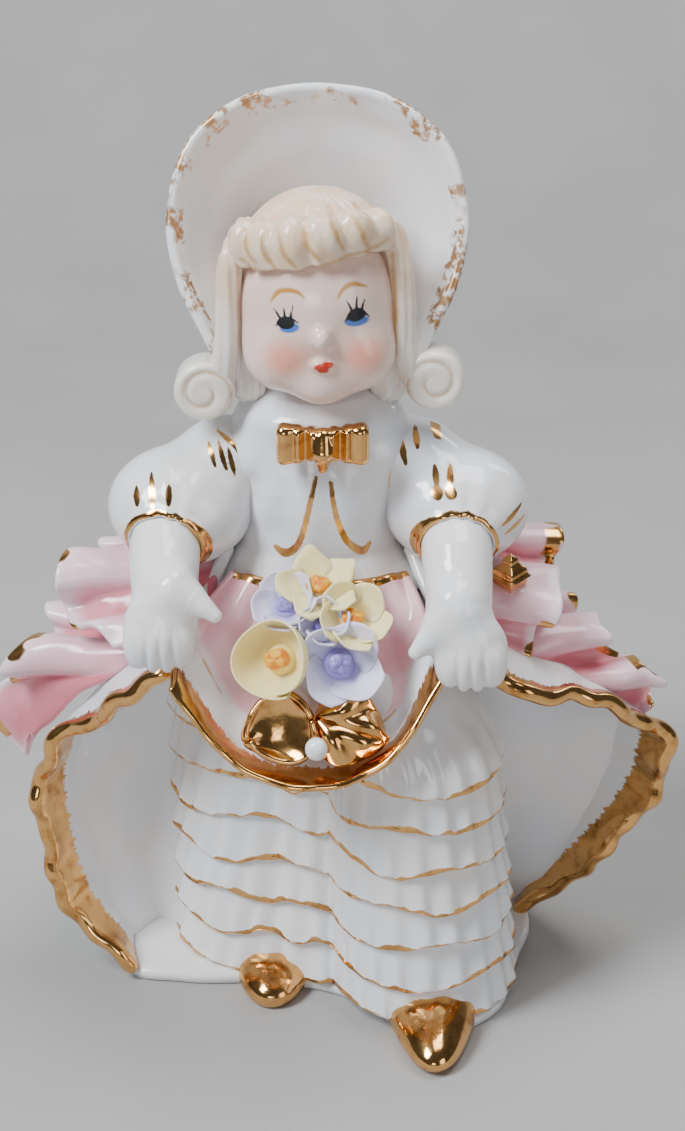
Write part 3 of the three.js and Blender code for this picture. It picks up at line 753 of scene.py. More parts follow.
def arm_line(side):
    cuff, finger, drop = ARM[side]["cuff"], ARM[side]["finger"], ARM[side]["drop"]
    return [(cuff, -7, 79.5), (cuff - 0.3, -13.6, 77.7), (cuff, -20, 73.4 - drop / 2),
            (finger, -22.8, 69 - drop)]


def arm_field(p, side):
    t = np.linspace(0, 1, 14)
    radii = np.interp(t, [0, 0.35, 0.6, 0.78, 1], [4.9, 5.1, 4.7, 3.9, 3.7])
    return limb(p, catmull(arm_line(side), t), radii)


def hand_field(side, sign):
    finger, drop = ARM[side]["finger"], ARM[side]["drop"]
    lift = 0 if sign < 0 else -2.7
    knuckle = finger + 0.3 * sign

    def pad(p, slot):
        return ball(p, (knuckle + 2.05 * slot, -24, 66.8 - drop + 0.35 * slot**2), (1.9, 1.6, 3.1))

    def field(p):
        palm = ball(p, (finger + 0.2 * sign, -22.7, 70.2 - drop), (5.1, 2.2, 4.6))
        body = melt(arm_field(p, side), palm, 2.6)
        body = melt(body, melted(0.9, *[pad(p, slot) for slot in (-1.5, -0.5, 0.5, 1.5)]), 1.4)
        for slot in (-1, 0, 1):
            x = np.interp(p[..., 2] + drop, [62, 72], [knuckle + 2.05 * slot, finger + 1.7 * slot])
            cut = smoothstep(p[..., 2] + drop, 72.5, 68) * smoothstep(-p[..., 1], 22.4, 23.6)
            body = body + 0.34 * cut * np.exp(-(((p[..., 0] - x) / 0.42) ** 2))
        thumb = [(finger - 2.2 * sign, -22, 76 - drop),
                 (finger - 4.6 * sign, -23, 75 - drop + lift / 2),
                 (finger - 6.3 * sign, -23.9, 73.9 - drop + lift * 0.8),
                 (finger - 7.6 * sign, -24.4, 72.8 - drop + lift)]
        return melt(body, limb(p, thumb, [2.8, 1.8, 1.3, 1.0]), 3)

    return field


def sleeve_field(side, sign):
    def field(p):
        puff = ball(p, (sign * 20, -4.5, 81), (10.6, 9.8, 8.7))
        shoulder = ball(p, (sign * 13, -1.5, 87.5), (7.6, 7.2, 5.8))
        body = melt(puff, shoulder, 3)
        turn = np.arctan2(p[..., 0] - sign * 20.5, p[..., 2] - 80)
        gather = smoothstep(-p[..., 1], 5, 13) * (0.4 + 0.6 * np.cos(turn) ** 2)
        body = body + 0.14 * np.sin(turn * 9 + 0.8 * np.sin(turn * 3)) * gather
        arm = arm_field(p, side)
        hem = np.sqrt((arm - 0.6) ** 2 + np.minimum(body, 2) ** 2) - 0.45
        return melt(carve(body, arm - 0.3, 0.5), hem, 0.7)

    return field


SLEEVE_STROKES = {
    # weight, then the points of the stroke
    "right": [
        (1, (-25.7, 86.2), (-25.6, 84.2)), (1, (-23.6, 87.9), (-23.3, 84.3)), (1, (-21, 87), (-21, 84.8)),
        (0.75, (-15.6, 91.4), (-14.6, 88.8)), (0.75, (-14.2, 91.6), (-13, 88.2)),
        (0.75, (-12.8, 91), (-11.8, 87.4)),
        (0.8, (-14.4, 92.6), (-11.4, 90.8), (-9.9, 88), (-9.3, 84.8)),
    ],
    "left": [
        (1, (16.5, 88.9), (16.8, 86.5)), (1, (18.7, 88.9), (18.6, 86.8)), (1, (11.6, 92.3), (12.4, 89)),
        (1, (13.8, 92.9), (14.1, 91)), (1, (16.3, 92.8), (17.5, 91.6)), (0.8, (26, 81.1), (28.9, 83.1)),
        (0.8, (26.6, 79.6), (29.4, 81.2)), (0.7, (10.3, 90.7), (9.8, 84.6)),
    ],
}
KNOTS = {"right": [], "left": [(16.8, 85.9), (18.7, 86.1)]}


def sleeve_marks(side, sign):
    def marks(points):
        inward = smoothstep((ARM[side]["cuff"] - points[:, 0]) * sign, 1, 5)
        inward = inward * smoothstep(points[:, 2], 84, 80)
        cuff = np.abs(arm_field(points, side) - 0.7) - 0.3 - 0.7 * inward
        cuff = np.where((points[:, 1] < -9.5) & (points[:, 2] > 73), cuff, 3)
        dabs = [np.hypot(points[:, 0] - x, points[:, 2] - z) - 0.85 for x, z in KNOTS[side]]
        for weight, *line in SLEEVE_STROKES[side]:
            line = catmull(line, np.linspace(0, 1, 5))
            dabs.append(stroke(points[:, [0, 2]], line, weight * arr(0.35, 0.8, 1, 0.8, 0.5)))
        dabs = np.where(points[:, 1] < -1, np.minimum.reduce(dabs), 3)
        return {"gold": np.minimum(cuff, dabs)}

    return marks


for side, sign in SIDES:
    x = centre_of(f"{side}_sleeve")[0]
    model(f"{side}_puffed_sleeve", sleeve_field(side, sign), (x - 14, -17, 70), (x + 14, 8, 95), 0.3,
          f"{side}_sleeve", "white_glaze", painted_white, sleeve_marks(side, sign))
    x = centre_of(f"{side}_forearm_and_hand")[0]
    low = (x - 11, -30, 58 - ARM[side]["drop"])
    model(f"{side}_hand_and_forearm", hand_field(side, sign), low, (x + 11, -1, 87), 0.28,
          f"{side}_forearm_and_hand", "white_glaze", white)

# ---- Head ----
def head_field(p):
    skull = ball(p, (0, -3, 111.6), (11.3, 11.3, 12.6))
    cheeks = [ball(p, (s * 5.3 + 0.3, -8.4, 105.4), (5.1, 5.2, 5)) for s in (-1, 1)]
    chin = ball(p, (0.5, -10.2, 102), (3.6, 3.4, 3.1))
    face = melted(3.2, skull, *cheeks)
    face = melt(face, chin, 3)
    face = melt(face, ball(p, (0.6, -14.6, 109.4), (1.1, 1.3, 1.3)), 1.6)
    for x, z in ((-3.9, 111.3), (5.3, 112.2)):
        face = carve(face, ball(p, (x, -16.2, z), (2.3, 1.9, 1.5)), 1.5)
    lips = ball(p, (0.8, -13.9, 105.5), (1.6, 0.8, 0.9))
    face = melt(face, lips, 0.8)
    neck = limb(p, [(0, -0.5, 96), (0, -1.5, 102)], [5.2, 5.6])
    return melt(face, neck, 2)


def face_marks(p):
    """Signed distances of the painted features, on the front of the face."""
    q = p[:, [0, 2]]
    front = p[:, 1] < -6

    def oval(x, z, rx, rz, tilt=0.0):
        c, s = math.cos(tilt), math.sin(tilt)
        d = (q - arr(x, z)) @ np.array([[c, -s], [s, c]])
        return (np.linalg.norm(d / arr(rx, rz), axis=1) - 1) * min(rx, rz)

    lashes = [
        ([(-5.6, 110.9), (-4.8, 111.9), (-3.6, 112.1), (-2.4, 111.6)], [0.2, 0.6, 0.5, 0.16]),
        ([(3.8, 111.7), (4.6, 112.8), (5.8, 113), (7.1, 111.9)], [0.2, 0.6, 0.6, 0.18]),
        ([(-4.9, 111.9), (-5.4, 112.7), (-5.9, 113.3)], [0.4, 0.3, 0.12]),
        ([(-4.3, 112), (-4.4, 112.9), (-4.5, 113.7)], [0.4, 0.3, 0.12]),
        ([(-3.6, 112), (-3.4, 113.1), (-3.2, 114.1)], [0.42, 0.32, 0.12]),
        ([(4.8, 113), (4.35, 113.9), (3.95, 114.6)], [0.4, 0.3, 0.12]),
        ([(5.3, 113.1), (5.35, 114.1), (5.4, 115)], [0.42, 0.32, 0.12]),
        ([(6, 112.9), (6.25, 113.8), (6.45, 114.4)], [0.4, 0.3, 0.12]),
    ]
    brows = [
        ([(-6.2, 114.2), (-5.2, 115.5), (-3.8, 115.9), (-2.5, 115.7), (-1.6, 115)],
         [0.3, 0.6, 0.62, 0.5, 0.2]),
        ([(2.8, 115), (3.6, 116.1), (4.9, 116.55), (6.8, 115.9)], [0.3, 0.6, 0.62, 0.22]),
    ]
    black = np.minimum.reduce([
        oval(-4.2, 111.45, 1.2, 0.85, 0.1), oval(5.35, 112.4, 1.25, 0.85, 0.1),
        nearest_stroke(q, lashes),
    ])
    blue = np.minimum(oval(-3.7, 110.85, 1.35, 0.72, 0.2), oval(5.4, 111.6, 1.7, 0.72, 0.0))
    ochre = nearest_stroke(q, brows)
    red = np.minimum.reduce([
        oval(0.3, 105.55, 0.85, 0.4, 0.25),
        oval(1.4, 105.85, 0.85, 0.44, -0.1),
        oval(0.82, 105.15, 0.8, 0.62, 0.1),
    ])
    peach = np.minimum(oval(-4.4, 106.4, 2.7, 2.2), oval(6.3, 106.8, 2.5, 2.2))
    marks = {"black": black, "blue": blue, "ochre": ochre, "red": red, "peach": peach}
    return {key: np.where(front, value, 9.0) for key, value in marks.items()}


def complexion(paint):
    warm = paint.step(paint.noise(0.12, 2.0), 0.3, 0.7)
    skin_tone = paint.mix(warm, (0.83, 0.65, 0.58), (0.81, 0.58, 0.5))
    rouge = paint.step(paint.mark("peach"), 1.9, -1.6, 0.0, 0.8)
    return paint.mix(rouge, skin_tone, (0.82, 0.3, 0.19))


face_glaze = glazed("face_glaze", complexion, [
    (painted("ochre", 0.16, 0.1), (0.5, 0.25, 0.06), 0, 0.2),
    (painted("blue", 0.16, 0.1), (0.07, 0.17, 0.5), 0, 0.2),
    (painted("black", 0.08, 0.05), (0.006, 0.007, 0.01), 0, 0.3),
    (painted("red", 0.14, 0.12), (0.5, 0.03, 0.008), 0, 0.2),
], 0.13, 0.02)
model("doll_head", head_field, (-13, -18, 95.2), (13, 10, 125.5), 0.26, "head",
      "skin_glaze", face_glaze, face_marks)

# ---- Hair ----
PUFFS = [
    # x, y, z and the three radii of each roll of the fringe
    (-9.6, -7.2, 120.8, 2.6, 2.6, 3.2), (-6.8, -10, 121.3, 2.9, 2.7, 3.5),
    (-3.2, -11.7, 122.1, 3.0, 2.8, 3.6), (0.8, -11.8, 122.8, 3.1, 2.8, 3.4),
    (4.7, -10.3, 123.4, 2.9, 2.7, 3.1), (8.2, -7.4, 122.7, 2.6, 2.7, 3.0),
]


def hair_field(p):
    cap = ball(p, (0, -2.2, 113.4), (12.4, 12.4, 13.7))
    cap = np.maximum(cap, 119.8 + 0.14 * p[..., 0] - p[..., 2])
    rolls = melted(0.5, *[ball(p, puff[:3], puff[3:]) for puff in PUFFS])
    turn = np.arctan2(p[..., 0], -(p[..., 1] + 2))
    comb = 0.09 * np.sin(turn * 24 + 0.35 * p[..., 2] + np.sin(turn * 7))
    return melt(cap, rolls, 1.8) + comb


LOCKS = [
    ([(-9.6, 123), (-9.4, 121), (-8.2, 119.4)], [0.3, 0.7, 0.4]),
    ([(-7.4, 123.6), (-7, 121), (-5.6, 118.9)], [0.3, 0.75, 0.45]),
    ([(-5, 124), (-4.4, 121.4), (-2.8, 119.4)], [0.3, 0.75, 0.45]),
    ([(-1.6, 124.6), (-1.2, 122.2), (0.4, 120.4)], [0.3, 0.7, 0.45]),
    ([(1.6, 126), (2.6, 123.8), (3.6, 121.4)], [0.25, 0.6, 0.4]),
    ([(4.8, 126), (5.9, 124), (6.8, 121.4)], [0.25, 0.6, 0.4]),
    ([(-10.4, 119.2), (-7.4, 118), (-3, 118.4), (1, 119.5), (4.6, 120.6), (7.6, 121), (9.6, 122)],
     [0.4, 0.6, 0.55, 0.55, 0.5, 0.5, 0.25]),
]


def fringe_marks(points):
    return {"ochre": np.where(points[:, 1] < -4, nearest_stroke(points[:, [0, 2]], LOCKS), 3)}


def hair_tone(paint):
    warm = paint.step(paint.noise(0.3, 3.0), 0.35, 0.65)
    cream = paint.mix(warm, (0.8, 0.58, 0.4), (0.82, 0.69, 0.55))
    height = paint.node("ShaderNodeSeparateXYZ", paint.place, output=2)
    return paint.mix(paint.step(height, 107, 118), (0.8, 0.76, 0.69), cream)


hair_glaze = glazed("hair_glaze", hair_tone, [
    (painted("ochre", 0.35, 0.4), OCHRE, 0, 0.22),
], 0.16, 0.04, 0.5)
model("combed_fringe", hair_field, (-14, -17, 115), (14, 11, 128.5), 0.3, "hair_cap",
      "hair_glaze", hair_glaze, fringe_marks)


def lock_field(sign):
    """A lock before the ear, and a fuller one behind the jaw."""
    t = np.linspace(0, 1, 10)
    front = [(sign * 9.8, -4.8, 122), (sign * 11.4 - 0.3, -6.4, 118.6), (sign * 12.1 - 0.3, -6.8, 113),
             (sign * 12.2 - 0.3, -6.8, 107), (sign * 13.4, -6.2, 101.6)]
    line = [tuple(q) for q in catmull(front, t)]
    radii = np.interp(t, [0, 0.3, 1], [1.7, 1.7, 1.9])
    back = [(sign * 10.3, -4.2, 120.4), (sign * 11.4, -3.6, 112), (sign * 10.4, -3.2, 105.4),
            (sign * 9.9, -3, 99.2)]

    def field(p):
        body = melt(limb(p, line, radii), limb(p, back, [1.8, 2.2, 2.6, 2.8]), 1.2)
        return body + 0.12 * np.sin(p[..., 0] * 4.2 + p[..., 1] * 3)

    return field


def lock_marks(sign):
    edge = [(sign * 10.2, -7.8, 119.5), (sign * 10.6, -8.1, 112), (sign * 10.8, -8, 105)]

    def marks(points):
        return {"ochre": stroke(points, edge, [0.4, 0.9, 0.5])}

    return marks


CURL_PITCH = 2.5
CURL_RADIUS = 3.3


def scroll_groove(q, sign):
    """Distance from the groove of a scroll, at q from the scroll's centre."""
    radius = np.hypot(q[..., 0], q[..., 2])
    turn = np.arctan2(q[..., 2], q[..., 0] * sign)
    winding = (radius - CURL_PITCH * turn / (2 * np.pi)) / CURL_PITCH
    return np.abs(winding - np.round(winding)) * CURL_PITCH


def curl_field(centre, sign):
    def field(p):
        q = p - centre
        radius = np.hypot(q[..., 0], q[..., 2])
        past_rim = radius - CURL_RADIUS
        past_end = np.abs(q[..., 1]) - 2.0
        corner = np.stack([np.maximum(past_rim, 0), np.maximum(past_end, 0)], -1)
        body = np.minimum(np.maximum(past_rim, past_end), 0) + np.linalg.norm(corner, axis=-1) - 1.1
        groove = np.exp(-((scroll_groove(q, sign) / 0.5) ** 2))
        return body + 0.3 * groove * smoothstep(radius, 0.7, 1.6)

    return field


def curl_marks(centre, sign):
    def marks(points):
        q = points - centre
        shown = (q[:, 1] < -1.5) & (np.hypot(q[:, 0], q[:, 2]) > 0.9)
        return {"ochre": np.where(shown, scroll_groove(q, sign) - 0.1, 2)}

    return marks


for side, sign in SIDES:
    low = (sign * 11 - 6, -11, 95.4)
    model(f"{side}_combed_lock", lock_field(sign), low, (sign * 11 + 6.6, 1.4, 127.5), 0.3,
          f"{side}_hair_lock", "hair_glaze", hair_glaze, lock_marks(sign))
    centre = centre_of(f"{side}_curl") + (arr(0.4, 0, 1.8) if sign > 0 else arr(0, 0, 0.2))
    room = arr(5.4, 4, 5.4)
    model(f"{side}_scroll_curl", curl_field(centre, sign), centre - room, centre + room, 0.22,
          f"{side}_curl", "hair_glaze", hair_glaze, curl_marks(centre, sign))


def nape_field(p):
    body = ball(p, centre_of("hair_nape"), (8.8, 4.8, 4.9))
    return body + 0.18 * np.sin(p[..., 0] * 2.6 + 0.6 * np.sin(p[..., 2]))


def unpainted(points):
    return {"ochre": np.full(len(points), 2.0)}


model("nape_hair", nape_field, (-10, 0.5, 93.5), (10, 12.5, 105.5), 0.35, "hair_nape",
      "hair_glaze", hair_glaze, unpainted)

# ---- Bonnet ----
BRIM = [
    # deep inside the crown, further out, the seam with the crown, mid brim, and the rim
    [(-8, 7, 106), (-8.4, 8.8, 109), (-8.4, 10.2, 112), (-7.8, 10.8, 115.5), (-6.2, 11, 118.5),
     (-3.4, 11, 120.4)],
    [(-11, 3, 105.2), (-11.5, 5, 108.4), (-11.8, 6.8, 112), (-11.4, 8.2, 116.6), (-9.6, 9.2, 121.6),
     (-5.4, 9.8, 125)],
    [(-12.8, -1, 104.6), (-13.7, 1, 108.2), (-14.6, 3.2, 112.8), (-14.8, 5.4, 118.2), (-12.7, 7, 124.8),
     (-7.2, 8.2, 129.2)],
    [(-13.6, -3.6, 104.6), (-15.3, -1.9, 108.6), (-17.3, 0.5, 114), (-17.9, 3.3, 120.9),
     (-15.4, 5.6, 128.6), (-8.9, 7.3, 133.6)],
    [(-14.2, -6, 104.6), (-16.4, -5, 109), (-19.2, -3, 115), (-20.3, 0, 123), (-17.4, 2.8, 132),
     (-10, 5, 137.4)],
]
BRIM_TOP = [(0, 11, 121), (0, 10.1, 126.3), (0, 8.8, 130.8), (0, 7.7, 135.2), (0, 5.8, 139)]


def brim():
    """One funnel of clay from the rim to deep inside the crown, behind the hair."""
    u = np.linspace(0, 1, int(240 / COARSE))
    v = np.linspace(0, 1, int(90 / COARSE))
    loops = [
        [*half, top, *[(-x, y, z) for x, y, z in half[::-1]]] for half, top in zip(BRIM, BRIM_TOP)
    ]
    middle = skin(loops, v, u).transpose(1, 0, 2)
    across = arc_length(middle, 1)
    rim = across[:, -1:] - across
    run = arc_length(middle, 0)[:, -1:]
    middle[..., 1] += 0.16 * np.sin(run / 1.5) * np.exp(-((rim / 2) ** 2))
    thickness = 1.9 - 0.4 * smoothstep(rim, 3, 0)
    points, faces, spread, _ = shell(middle, thickness, 4)
    return points, faces, {"rim": spread(rim)}


def rim_dabs(paint):
    """Sponged dabs of gold on the rim, worn to brown."""
    patch = paint.step(paint.noise(0.19, 1.0), 0.44, 0.54)
    speck = paint.step(paint.noise(0.8, 3.0, rough=0.7), 0.4, 0.58)
    reach = paint.math("MULTIPLY_ADD", paint.noise(0.5, 2.0), 4.4, -0.5)
    near = paint.step(paint.math("SUBTRACT", reach, paint.mark("rim")), -0.2, 0.3)
    return paint.math("MULTIPLY", patch, paint.math("MULTIPLY", speck, near))


points, faces, marks = brim()
brim_glaze = glazed("bonnet_glaze", milk, [(rim_dabs, (0.42, 0.22, 0.09), 0.5, 0.3)], 0.13)
make("bonnet_brim_glazed", points, faces, ["bonnet_brim"], "white_glaze", brim_glaze, marks)


def crown_field(p):
    body = ball(p, (0, 3.5, 114), (14, 13.5, 14.4))
    turn = np.arctan2(p[..., 0], p[..., 2] - 114)
    spokes = np.hypot(p[..., 0], p[..., 2] - 114)
    body = body + 0.22 * np.sin(turn * 22) * smoothstep(spokes, 1.5, 7)
    heights = [104.6, 108, 112, 117, 123, 127, 128.4]
    seam = np.interp(p[..., 2], heights, [0.4, 2, 4.2, 6.2, 8, 9.4, 9.6])
    inside = ball(p, (0, 3.5, 114), (12.6, 12.1, 13))
    return np.maximum(np.maximum(body, -inside), seam + 0.7 - p[..., 1])


model("bonnet_crown_gathered", crown_field, (-15.5, -4, 98), (15.5, 18.5, 130), 0.35,
      "bonnet_crown", "white_glaze", white)

# ---- Neck bow ----
def box_field(p, centre, half, rounding):
    q = np.abs(p - arr(*centre)) - (arr(*half) - rounding)
    return np.linalg.norm(np.maximum(q, 0), axis=-1) + np.minimum(q.max(-1), 0) - rounding


def neck_bow_field(p):
    q = p.copy()
    q[..., 0] -= 0.7
    wide = np.abs(q[..., 0])
    q[..., 2] = (q[..., 2] - 93.9) / (0.8 + 0.05 * wide) + 93.9
    loops = box_field(q, (0, -13.2, 93.9), (6.1, 1.3, 2.7), 0.8)
    pleats = 0.5 * np.cos(wide * 3.1 - 1.2) * smoothstep(wide, 4.9, 3.4)
    pleats = pleats - 0.35 * smoothstep(wide, 3.2, 5.4)
    loops = loops + pleats * smoothstep(np.abs(q[..., 2] - 93.9), 3.2, 1.6)
    knot = limb(p, [(0.7, -13.9, 95), (0.7, -14.6, 93), (0.7, -14.2, 90.6)], [1.5, 1.6, 0.7])
    return melt(loops, knot, 0.5)


model("neck_bow_gilded", neck_bow_field, (-7, -17.5, 88.5), (8.5, -10.5, 98), 0.2, "neck_bow",
      "bright_gold", gilt)

# ---- Bouquet ----
HEART = arr(0, -17, 58)
FLOWERS = [
    # node, centre, radius, depth, petals, petal width, tip, curl, colour
    ("yellow_flower_top", (0, -19, 76), 4.9, 3.0, 5, 0.78, 1.0, 0.2, "yellow"),
    ("yellow_flower_side", (5.4, -22.4, 72.2), 4.5, 3.2, 5, 0.9, 0.55, 0.12, "yellow"),
    ("yellow_flower_cup", (-6.6, -26.6, 67.2), 5.3, 5.0, 1, 0, 0, 0, "yellow"),
    ("lilac_flower_side", (-5, -20.2, 73.4), 4.1, 3.2, 5, 0.85, 0.4, 0.1, "lilac"),
    ("lilac_flower_middle", (0.9, -23.0, 71.4), 3.3, 3.0, 4, 0.95, 0.4, 0.0, "lilac"),
    ("lilac_flower_front", (3.6, -26.6, 66.4), 5.3, 3.8, 4, 1.15, 0.8, 0.14, "lilac"),
]


def bisque(name, edge, throat):
    def tone(paint):
        deep = paint.step(paint.mark("deep"), 0.55, 0.0)
        soft = paint.step(paint.noise(0.5, 3.0), 0.3, 0.7, -0.06, 0.06)
        return paint.mix(paint.math("ADD", deep, soft), edge, throat)

    return glazed(name, tone, gloss=0.5, ripple=0.05, ripple_scale=1.2, depth=0.45)


def pollen(name, light, dark):
    def tone(paint):
        return paint.mix(paint.step(paint.noise(1.2, 3.0), 0.4, 0.6), light, dark)

    return glazed(name, tone, gloss=0.5, ripple=0.1, ripple_scale=2.5)


PETALS = {
    "yellow": bisque("yellow_bisque", (0.86, 0.74, 0.37), (0.85, 0.65, 0.22)),
    "lilac": bisque("lilac_bisque", (0.68, 0.66, 0.88), (0.34, 0.29, 0.72)),
}
CENTRES = {
    "yellow": pollen("pollen_orange", (0.82, 0.42, 0.02), (0.72, 0.2, 0.01)),
    "lilac": pollen("pollen_violet", (0.3, 0.26, 0.66), (0.22, 0.18, 0.5)),
}


def facing(centre):
    """The turn that points a flower away from the middle of the bouquet and forward."""
    outward = unit(arr(*centre) - HEART)
    outward[1] -= 0.55
    return np.array(Vector((0, 0, 1)).rotation_difference(Vector(unit(outward))).to_matrix())


def open_petal(radius, depth, spread, tip, curl, index):
    a = np.linspace(-1, 1, 25)[:, None]
    t = np.linspace(0, 1, 22)[None, :]
    width = spread * np.sin(np.pi * (0.16 + 0.52 * t)) * (1 - tip * 0.55 * smoothstep(t, 0.5, 1.0))
    reach = radius * (0.1 + 0.9 * np.sin(np.pi / 2 * t) ** 0.85)
    reach = reach * (1 - 0.1 * tip * a**2 * t) + curl * radius * t**4
    reach = reach + 0.35 * a * (0.3 + t) + 0.08 * np.sin(5 * a + index) * t**3
    height = -depth * (1 - t**1.7) - curl * 0.8 * radius * t**6 + 0.25 * np.cos(3 * a + index) * t**3
    height = height - tip * 1.1 * (np.abs(a) ** 2.2) * t**2
    angle = a * width
    return np.stack([reach * np.cos(angle), reach * np.sin(angle), height + 0 * a], -1), t + 0 * a


def rolled_petal(radius, depth):
    """One broad petal rolled into a cup, with its edges lapping."""
    a = np.linspace(-1, 1, 97)[:, None]
    t = np.linspace(0, 1, 30)[None, :]
    angle = a * math.pi * 1.05 + 1.1
    reach = radius * (0.06 + 0.94 * np.sin(np.pi / 2 * t) ** 0.8)
    reach = reach + 0.35 * a * t + 0.2 * np.sin(3 * angle) * t**3
    height = -depth * (1 - t**1.9) + 0.3 * np.cos(2 * angle + 1) * t**3
    return np.stack([reach * np.cos(angle), reach * np.sin(angle), height + 0 * a], -1), t + 0 * a


def flower(node, centre, radius, depth, petals, spread, tip, curl, kind):
    all_points, all_faces, all_deep = [], [], []

    def add(points, faces, deep):
        all_faces.append(faces + sum(len(p) for p in all_points))
        all_points.append(points)
        all_deep.append(deep)

    def cup_field(p):
        return ball(p, (0, 0, -depth * 0.92), (radius * 0.42, radius * 0.42, depth * 0.3))

    def stamen_field(p):
        angle = np.arctan2(p[..., 1], p[..., 0])
        body = ball(p, (0, 0, -depth * 0.55), (radius * 0.36, radius * 0.28, radius * 0.15))
        return body + 0.1 * np.sin(angle * 4 + 2 * p[..., 2])

    for index in range(petals):
        if petals == 1:
            grid, t = rolled_petal(radius, depth)
        else:
            grid, t = open_petal(radius, depth, spread, tip, curl, index)
        points, faces, spread_marks, _ = shell(grid, 0.62 - 0.34 * t, 2)
        angle = 2 * np.pi * index / petals + 0.4 * len(node)
        add(points @ np.array(Matrix.Rotation(angle, 3, "Z")).T, faces, spread_marks(t))
    points, faces = clay(cup_field, (-4, -4, -8), (4, 4, 2), 0.25)
    add(points, faces, np.full(len(points), 0.1))
    turn = facing(centre)
    make(f"{node}_petals", np.concatenate(all_points) @ turn.T + arr(*centre), np.concatenate(all_faces),
         [node], f"{kind}_bisque", PETALS[kind], {"deep": np.concatenate(all_deep)})
    points, faces = clay(stamen_field, (-2.6, -2.6, -5), (2.6, 2.6, 2), 0.16)
    make(f"{node}_stamens", points @ turn.T + arr(*centre), faces, [f"{node}_centre"], "pollen",
         CENTRES[kind])


for shape in FLOWERS:
    flower(*shape)


def leaf(sign):
    """A lobe of clay: on her right a smooth spoon with a lip, on her left a crumpled leaf."""
    a = np.linspace(0, 1, int(90 / COARSE))[:, None]
    b = np.linspace(-1, 1, int(70 / COARSE))[None, :]
    side = np.abs(b)
    if sign < 0:
        width = 0.5 + 4.5 * np.sin(np.pi * a**0.8) ** 0.6
        height = 0.5 * side**3 + 0.5 * np.abs(2 * a - 1) ** 3 - 0.9 * np.sin(np.pi * a) * (1 - side**2)
        height = height + 0.12 * np.sin(5 * a + 3 * b)
    else:
        width = 0.5 + 4.4 * np.sin(np.pi * a**0.75) ** 0.75
        height = 1.7 * np.sin(np.pi * a) - 1.5 * side**2.4 - 0.7 * np.exp(-((b / 0.16) ** 2))
        height = height + 0.5 * np.sin(11 * (a - 0.42 * side) + 1) * smoothstep(side, 0.1, 0.5)
    along = unit(arr(sign * 0.94, -0.03, -0.34))
    normal = unit(arr(sign * 0.12, -0.93, 0.36))
    across = np.cross(normal, along)
    reach = 9.4 * a + 0.5 * np.sin(5 * b + sign) * a
    centre = arr(sign * 0.5 - 0.3, -26.6, 57.8)
    middle = centre + reach[..., None] * along + (width * b)[..., None] * across
    return shell(middle + height[..., None] * normal, 1.0 if sign < 0 else 1.3, 4)


for side, sign in SIDES:
    points, faces, _, _ = leaf(sign)
    make(f"{side}_leaf_gilded", points, faces, [f"{side}_gilt_leaf"], "bright_gold", gilt)


def bead_field(p):
    return ball(p, (-0.2, -29.6, 54.6), (1.6, 1.5, 1.7))


def mound_field(p):
    body = ball(p, (0.2, -18.4, 62.6), (6.6, 4.6, 8.8))
    return body + 0.5 * np.sin(p[..., 0] * 1.7) * np.sin(p[..., 2] * 1.4 + 1) * 0.6


model("bouquet_bead_glazed", bead_field, (-2.4, -31.8, 52.4), (2, -27.4, 56.8), 0.18,
      "bouquet_bead", "white_glaze", white)
model("bouquet_clay", mound_field, (-9, -26, 52), (9, -13, 74), 0.4, "bouquet_mound",
      "white_glaze", white)

# ---- Side drapes ----
FRILLS = {
    # attached edge, free edge, pleats, depth of the folds, seed
    "upper": (
        [(18.5, -12, 65), (16.8, -9, 70.5), (16, -1, 73.6), (13.4, 8, 74), (7, 13.6, 74.4),
         (0.6, 15.2, 74.6)],
        [(31.5, -12.5, 62), (37.5, -8, 66), (38.5, -1, 70), (31.5, 15, 66), (16, 25.5, 63),
         (0.8, 28.8, 62)],
        4.6, 2.7, 12,
    ),
    "lower": (
        [(49, -1.5, 45), (42, -5.5, 50.5), (34.5, -9.5, 55.5), (28, -9, 60.5), (26.5, 0, 61.5),
         (21.5, 12, 60), (12, 18.8, 59.2), (0.6, 20.8, 58.8)],
        [(51.5, 0, 46), (52, -1.5, 51), (48.5, -3, 55.5), (43.5, -2, 59), (43.5, 7, 56),
         (36, 21, 50.5), (20, 31.5, 46), (0.8, 35, 44.5)],
        5.7, 3.1, 16,
    ),
}
REACH = {"right": 1.08, "left": 0.88}


def droop(middle, u, v):
    """Lets the front of a frill hang, with a lobe and a lower tip at its end."""
    front = smoothstep(u, 0.36, 0)[:, None]
    lobe = np.exp(-(((u - 0.09) / 0.07) ** 2))[:, None]
    tip = smoothstep(u, 0.14, 0)[:, None]
    middle[..., 2] -= 7.2 * v**1.2 * front + 2.4 * tip
    middle[..., 0] += 1.6 * tip - 4.2 * v * lobe


